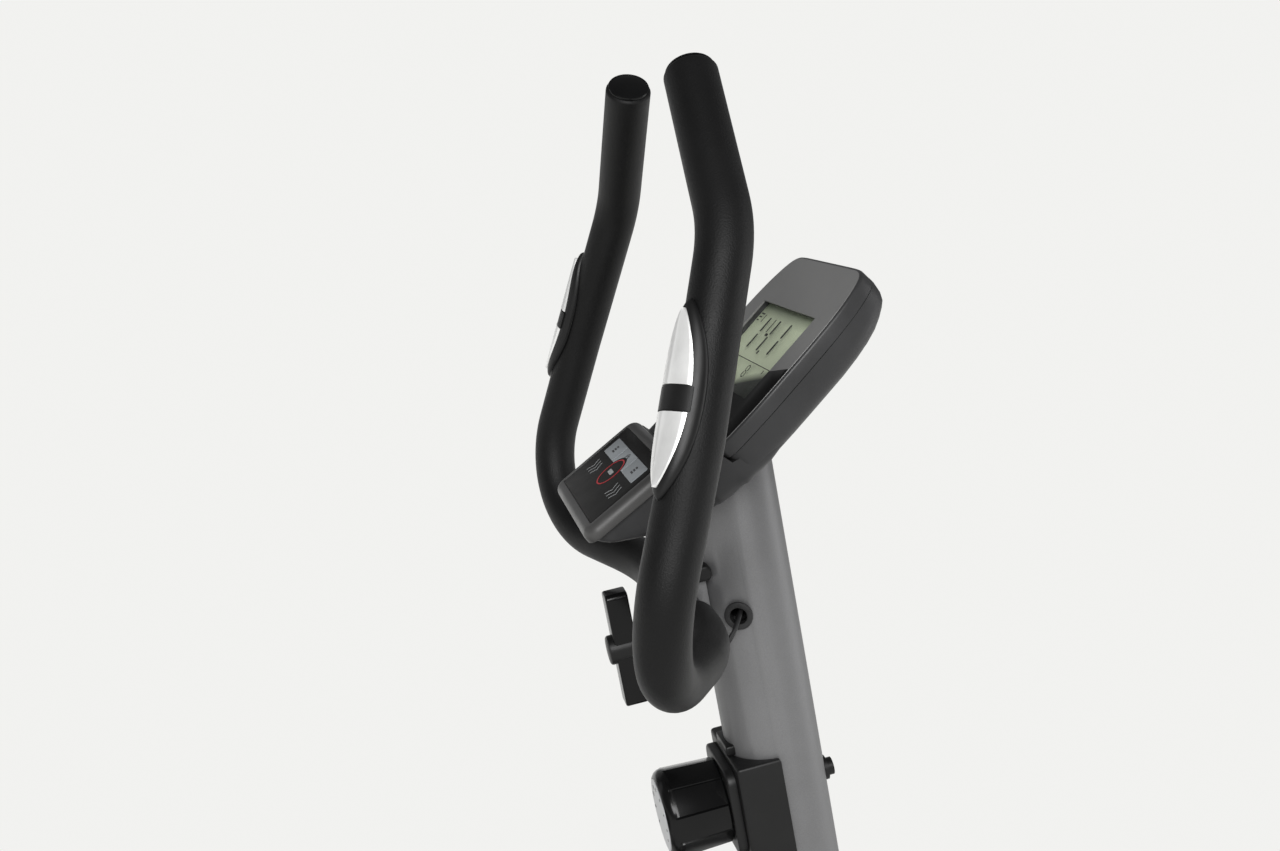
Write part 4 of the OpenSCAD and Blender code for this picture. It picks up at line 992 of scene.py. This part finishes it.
def saddle_section():
    """The block's section across the post: flat towards the rider, hollowed to the post."""
    r = POST_R / MM + 0.15
    low = -30.0
    reach = math.degrees(math.acos(min(1, (r + low) / r)))
    arc = corner(-r, 0, r, reach, 24, -2 * reach)
    outer = [Vector((low, -39)), *corner(0, -36, 3, 270, 4)[:-1], *corner(0, 36, 3, 0, 4), Vector((low, 39))]
    return outer + arc


def build_knob_saddle():
    swap = Matrix(((0, 0, 1), (0, 1, 0), (1, 0, 0)))
    section = Matrix.Translation(KNOB_FRAME.translation) @ (KNOB_FRAME.to_3x3() @ swap).to_4x4()
    block = plate("block", section, saddle_section(), soft_edge(-38, 38, 2.2, 2.2), SATIN)
    base = plate("base", KNOB_FRAME, rounded(66, 66, 11), soft_edge(2.8, 10, 1.8, 0.8), SATIN)
    lip = plate("lip", KNOB_FRAME, rounded(8, 30, 2, 41.5, 0, 4), soft_edge(-3.5, 3, 1.0, 0.5), SATIN)
    place_piece(join("tension_base", [block, base, lip]), "frame", "gloss_black", "knob_saddle")


# The two sensor leads, from the post's grommet in a loop to the slot in the bar, in mm
LEAD_A = [(191, -4, 980), (187, -14, 979), (183, -23, 977), (179, -32, 975.5), (175, -41, 973),
          (170, -48, 967), (163, -50, 959), (156, -47, 955), (151, -43, 958), (147.5, -40.5, 963.5),
          (144.5, -40, 970)]
LEAD_B = [(189, -4, 975), (185, -14, 974), (181, -23, 973), (177, -32, 971), (173, -41, 968), (168, -45, 960),
          (161, -44, 952), (154, -40, 950), (149.5, -37, 954.5), (146.5, -35.8, 961), (143.5, -35.5, 968)]


def open_curve(points):
    """A smooth open curve through 3-D points in mm, in metres."""
    pts = [Vector(p) * MM for p in points]
    pts = [2 * pts[0] - pts[1]] + pts + [2 * pts[-1] - pts[-2]]
    out = []
    for four in zip(pts, pts[1:], pts[2:], pts[3:]):
        out += span(*four, 6)
    return out + [pts[-2]]


def build_leads():
    leads = []
    for line in (LEAD_A, LEAD_B):
        leads.append(sweep("lead", open_curve(line), lambda length, whole: LEAD_R, RUBBER, 16))
    place_piece(join("sensor_leads", leads), "frame", "cord_rubber", "sensor_wires")


# ---------------------------------------------------------------- saddle

def build_saddle():
    low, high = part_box("saddle_cushion")
    cushion = mesh_copy("saddle_pad", "saddle_cushion", SEAT_SKIN)
    shrink_to(cushion, low, high, 0.985)
    remesh(cushion, 0.006)
    inflate(cushion, 5 * MM)
    relax = cushion.modifiers.new("relax", "SMOOTH")
    relax.factor = 0.5
    relax.iterations = 24
    apply_modifiers(cushion)
    sculpt_saddle(cushion, low, high)
    subdivide = cushion.modifiers.new("smooth", "SUBSURF")
    subdivide.levels = 1
    apply_modifiers(cushion)
    shade(cushion, 180)
    cushion.data.materials.clear()
    cushion.data.materials.append(SEAT_SKIN)
    place_piece(cushion, "seat", "vinyl", "saddle_cushion")
    build_piping(low)


def mesh_copy(name, node, mat):
    obj = bpy.data.objects.new(name, NODES[node].data.copy())
    bpy.context.scene.collection.objects.link(obj)
    obj.data.materials.clear()
    obj.data.materials.append(mat)
    for key in list(obj.keys()):
        del obj[key]
    return obj


def shrink_to(obj, low, high, share):
    centre = (low + high) / 2
    for vertex in obj.data.vertices:
        vertex.co = centre + (vertex.co - centre) * share


def remesh(obj, size):
    modifier = obj.modifiers.new("remesh", "REMESH")
    modifier.mode = "VOXEL"
    modifier.voxel_size = size
    apply_modifiers(obj)


def inflate(obj, cap):
    """Cloth under a light pressure, stepped to frame 20, with no point moving further than cap."""
    rest = [v.co.copy() for v in obj.data.vertices]
    cloth = obj.modifiers.new("cloth", "CLOTH")
    cloth.settings.use_pressure = True
    cloth.settings.uniform_pressure_force = 4
    cloth.settings.effector_weights.gravity = 0
    cloth.settings.quality = 5
    scene = bpy.context.scene
    scene.frame_start = 1
    scene.frame_end = 20
    for step in range(1, 21):
        scene.frame_set(step)
    apply_modifiers(obj)
    for vertex, start in zip(obj.data.vertices, rest):
        move = vertex.co - start
        if move.length > cap:
            vertex.co = start + move.normalized() * cap
    scene.frame_set(1)


def sculpt_saddle(obj, low, high):
    """Keeps the pad in its space, and gives it a crown, a raised tail and a long relief channel."""
    size = high - low
    middle = (low + high) / 2
    for vertex in obj.data.vertices:
        p = vertex.co
        u = (p.x - low.x) / size.x
        v = (p.y - middle.y) / (size.y / 2)
        top = max(0.0, min(1.0, (p.z - low.z) / size.z - 0.35)) / 0.65
        tail = 5 * max(0.0, 1 - u / 0.35)
        channel = 7 * math.exp(-(v / 0.13) ** 2) * max(0.0, min(1.0, (u - 0.08) * 5)) * max(0.0, 1 - u * 0.55)
        crown = -9 * min(1.0, abs(v)) ** 2.4 - 5 * max(0.0, u - 0.6)
        p.z += (tail + crown - channel) * MM * top
        p.x = min(max(p.x, low.x), high.x)
        p.y = min(max(p.y, low.y), high.y)
        p.z = min(max(p.z, low.z + 0.4 * MM), high.z + 3 * MM)


def saddle_outline(inset):
    """The saddle seen from above: a wide round tail that narrows to the nose, in metres."""
    low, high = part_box("saddle_cushion")
    tail = low.x + 48 * MM
    half = high.y - 48 * MM
    nose = high.x - 36 * MM
    points = corner(tail, half, 48 * MM - inset, 90, 32)
    other = [Vector((p.x, -p.y)) for p in reversed(points)]
    return points + other + corner(nose, 0, 36 * MM - inset, -62, 24, 124)


WELT_R = 2.4 * MM


def build_piping(low):
    """A welt that runs round the foot of the pad, where the cover is pulled over its base."""
    z = low.z + 7 * MM
    outline = saddle_outline(5.0 * MM)
    count = 160
    total = outline + outline[:1]
    lengths = [0.0]
    for a, b in zip(total, total[1:]):
        lengths.append(lengths[-1] + (b - a).length)
    path = []
    j = 0
    for k in range(count):
        want = lengths[-1] * k / count
        while lengths[j + 1] < want:
            j += 1
        t = (want - lengths[j]) / (lengths[j + 1] - lengths[j])
        p = total[j].lerp(total[j + 1], t)
        path.append(Vector((p.x, p.y, z)))
    rings = []
    for i, p in enumerate(path):
        d = (path[(i + 1) % count] - path[i - 1]).normalized()
        n = d.cross(Vector((0, 0, 1)))
        up = Vector((0, 0, 1))
        rings.append([p + (n * math.cos(a) + up * math.sin(a)) * WELT_R for a in full_turn(12)])
    welt = loft("saddle_welt", rings, SEAT_SKIN, loop=True, smooth_angle=60)
    place_piece(welt, "seat", "vinyl")


# ---------------------------------------------------------------- parts kept from the CAD shape

def softened(node, width):
    """A copy of a CAD part with its sharp edges rounded off, which stands for that part."""
    piece = mesh_copy(node + "_soft", node, NODES[node].data.materials[0])
    bm = bmesh.new()
    bm.from_mesh(piece.data)
    bmesh.ops.remove_doubles(bm, verts=bm.verts, dist=0.00001)
    bmesh.ops.dissolve_limit(bm, angle_limit=math.radians(0.6), verts=bm.verts, edges=bm.edges)
    bm.to_mesh(piece.data)
    bm.free()
    bevel = piece.modifiers.new("bevel", "BEVEL")
    bevel.width = width
    bevel.segments = 2
    bevel.limit_method = "ANGLE"
    bevel.angle_limit = math.radians(40)
    apply_modifiers(piece)
    shade(piece, 40)
    place_piece(piece, NODES[node]["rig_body"], SLOT_OF[node], node)


# Width in mm of the rounding on the edges of the parts that keep their CAD shape
SOFT_PARTS = [(1.5, ("front_caps", "rear_cap_left", "rear_cap_right")),
              (1.2, ("housing_left", "housing_right")),
              (1.0, ("main_beam", "seat_tube", "wheel_left", "wheel_right", "crank_left", "crank_right",
                     "saddle_base")),
              (0.8, ("front_stabiliser", "rear_stabiliser", "pedal_left", "pedal_right")),
              (0.6, ("post",)),
              (0.5, ("seat_post", "seat_pin", "seat_bush")),
              (0.3, ("strap_left", "strap_right", "wire_grommet"))]
SLOT_OF = {part["node"]: part["material_slot"] for part in frame["record"]["subparts"]}
LOOKS = {"dark_metal": POST_PAINT, "zinc_steel": STEEL, "black_plastic": MATT, "crank_paint": BAR_PAINT,
         "pedal_plastic": MATT, "steel": STEEL, "strap_rubber": RUBBER, "cast_iron": IRON,
         "belt_rubber": RUBBER, "cord_rubber": RUBBER, "chrome": CHROME, "gloss_black": GLOSS,
         "vinyl": SEAT_SKIN, "bar_paint": BAR_PAINT,
         "foam": FOAM, "polished_steel": PLATE_STEEL, "label": LABEL, "face_grey": FACE, "keypad_black": FILM,
         "key_grey": SILVER_KEY, "board": BOARD}


def window_material():
    mat = bpy.data.materials.new("display_window")
    mat.use_nodes = True
    shader = mat.node_tree.nodes["Principled BSDF"]
    socket(shader, "Base Color", (0.02, 0.03, 0.02, 1))
    socket(shader, "Roughness", 0.08)
    socket(shader, "Alpha", 0.07)
    mat.surface_render_method = "BLENDED"
    coords = mat.node_tree.nodes.new("ShaderNodeTexCoord").outputs["Object"]
    relief = bump(mat.node_tree, noise(mat.node_tree, coords, 60), 1.0, 0.00001)
    mat.node_tree.links.new(relief, shader.inputs["Normal"])
    return mat


def dress_cad_parts():
    """Gives every CAD part its look."""
    LOOKS["window"] = window_material()
    LOOKS["lcd"] = display_material()
    for node, obj in NODES.items():
        look = LOOKS[SLOT_OF[node]]
        obj.data.materials.clear()
        obj.data.materials.append(look)
    for node in ("housing_left", "housing_right"):
        NODES[node].data.materials[0] = COVER
    for node in ("cover_screws", "post_bolts"):
        NODES[node].data.materials[0] = SATIN
    for width, nodes in SOFT_PARTS:
        for node in nodes:
            softened(node, width * MM)


# ---------------------------------------------------------------- studio

def area_light(name, place, target, size, power):
    data = bpy.data.lights.new(name, "AREA")
    data.shape = "RECTANGLE"
    data.size, data.size_y = size
    data.energy = power
    obj = bpy.data.objects.new(name, data)
    bpy.context.scene.collection.objects.link(obj)
    obj.location = place
    obj.rotation_euler = (Vector(target) - Vector(place)).to_track_quat("-Z", "Y").to_euler()
    obj.visible_camera = False


PAPER = (0.885, 0.885, 0.868, 1)


def studio_world():
    """A pale backdrop, which lights the bike more softly than it shows."""
    world = bpy.data.worlds.new("studio")
    bpy.context.scene.world = world
    world.use_nodes = True
    tree = world.node_tree
    seen = tree.nodes["Background"]
    seen.inputs["Color"].default_value = PAPER
    light = tree.nodes.new("ShaderNodeBackground")
    light.inputs["Color"].default_value = (0.93, 0.94, 0.95, 1)
    light.inputs["Strength"].default_value = 0.13
    mix = tree.nodes.new("ShaderNodeMixShader")
    path = tree.nodes.new("ShaderNodeLightPath")
    tree.links.new(path.outputs["Is Camera Ray"], mix.inputs["Fac"])
    tree.links.new(light.outputs[0], mix.inputs[1])
    tree.links.new(seen.outputs[0], mix.inputs[2])
    tree.links.new(mix.outputs[0], tree.nodes["World Output"].inputs["Surface"])


def floor_material():
    """White paper round the bike that runs out into the backdrop."""
    mat = surface("floor", (0.86, 0.86, 0.84), 0.6, grain=60, grain_depth=0.00001, vary=0.004, cloud=0.3)
    tree = mat.node_tree
    far = tree.nodes.new("ShaderNodeVectorMath")
    far.operation = "LENGTH"
    tree.links.new(tree.nodes["Texture Coordinate"].outputs["Object"], far.inputs[0])
    fade = remap(tree, far.outputs["Value"], 0.45, 1.35, 0, 1)
    glow = tree.nodes.new("ShaderNodeEmission")
    glow.inputs["Color"].default_value = PAPER
    mix = tree.nodes.new("ShaderNodeMixShader")
    tree.links.new(fade, mix.inputs["Fac"])
    tree.links.new(tree.nodes["Principled BSDF"].outputs[0], mix.inputs[1])
    tree.links.new(glow.outputs[0], mix.inputs[2])
    tree.links.new(mix.outputs[0], tree.nodes["Material Output"].inputs["Surface"])
    return mat


def build_studio():
    bpy.context.scene.view_settings.view_transform = "Standard"
    studio_world()
    area_light("key", (-0.5, -2.8, 2.5), (0.1, 0, 1.0), (1.8, 1.4), 105)
    area_light("back", (0.2, 3.0, 1.4), (0.1, 0, 0.9), (4.0, 3.0), 9)
    area_light("rim", (2.6, -0.3, 1.5), (0.1, 0, 0.9), (1.0, 2.4), 16)
    area_light("left", (-2.4, 1.4, 1.5), (0.1, 0, 0.9), (1.0, 2.4), 4)
    rings = [[polar(r, a) for a in full_turn(96)] for r in (0.0002, 4, 40)]
    floor = loft("studio_floor", rings, floor_material(), caps=False)


def build_camera():
    """Seen from the rider's right, level with the console and a little above it."""
    camera = bpy.data.objects.new("camera", bpy.data.cameras.new("camera"))
    bpy.context.scene.collection.objects.link(camera)
    camera.data.lens = 39.375
    camera.data.sensor_width = 36
    azimuth = math.radians(-11.1)
    elevation = math.radians(10.8)
    back = polar(math.cos(elevation), azimuth - math.pi / 2, math.sin(elevation))
    camera.location = Vector((-68.0, -928.4, 1283.2)) * MM
    camera.rotation_euler = (-back).to_track_quat("-Z", "Y").to_euler()
    bpy.context.scene.camera = camera


def main():
    build_camera()
    build_studio()
    dress_cad_parts()
    build_bar()
    build_grip("left")
    build_grip("right")
    build_end_plugs()
    build_sensors()
    build_console_back()
    build_console_face()
    build_display()
    build_keypad()
    build_clamp_knob()
    build_clamp_cover()
    build_resistance_knob()
    build_knob_saddle()
    build_leads()
    build_saddle()


main()
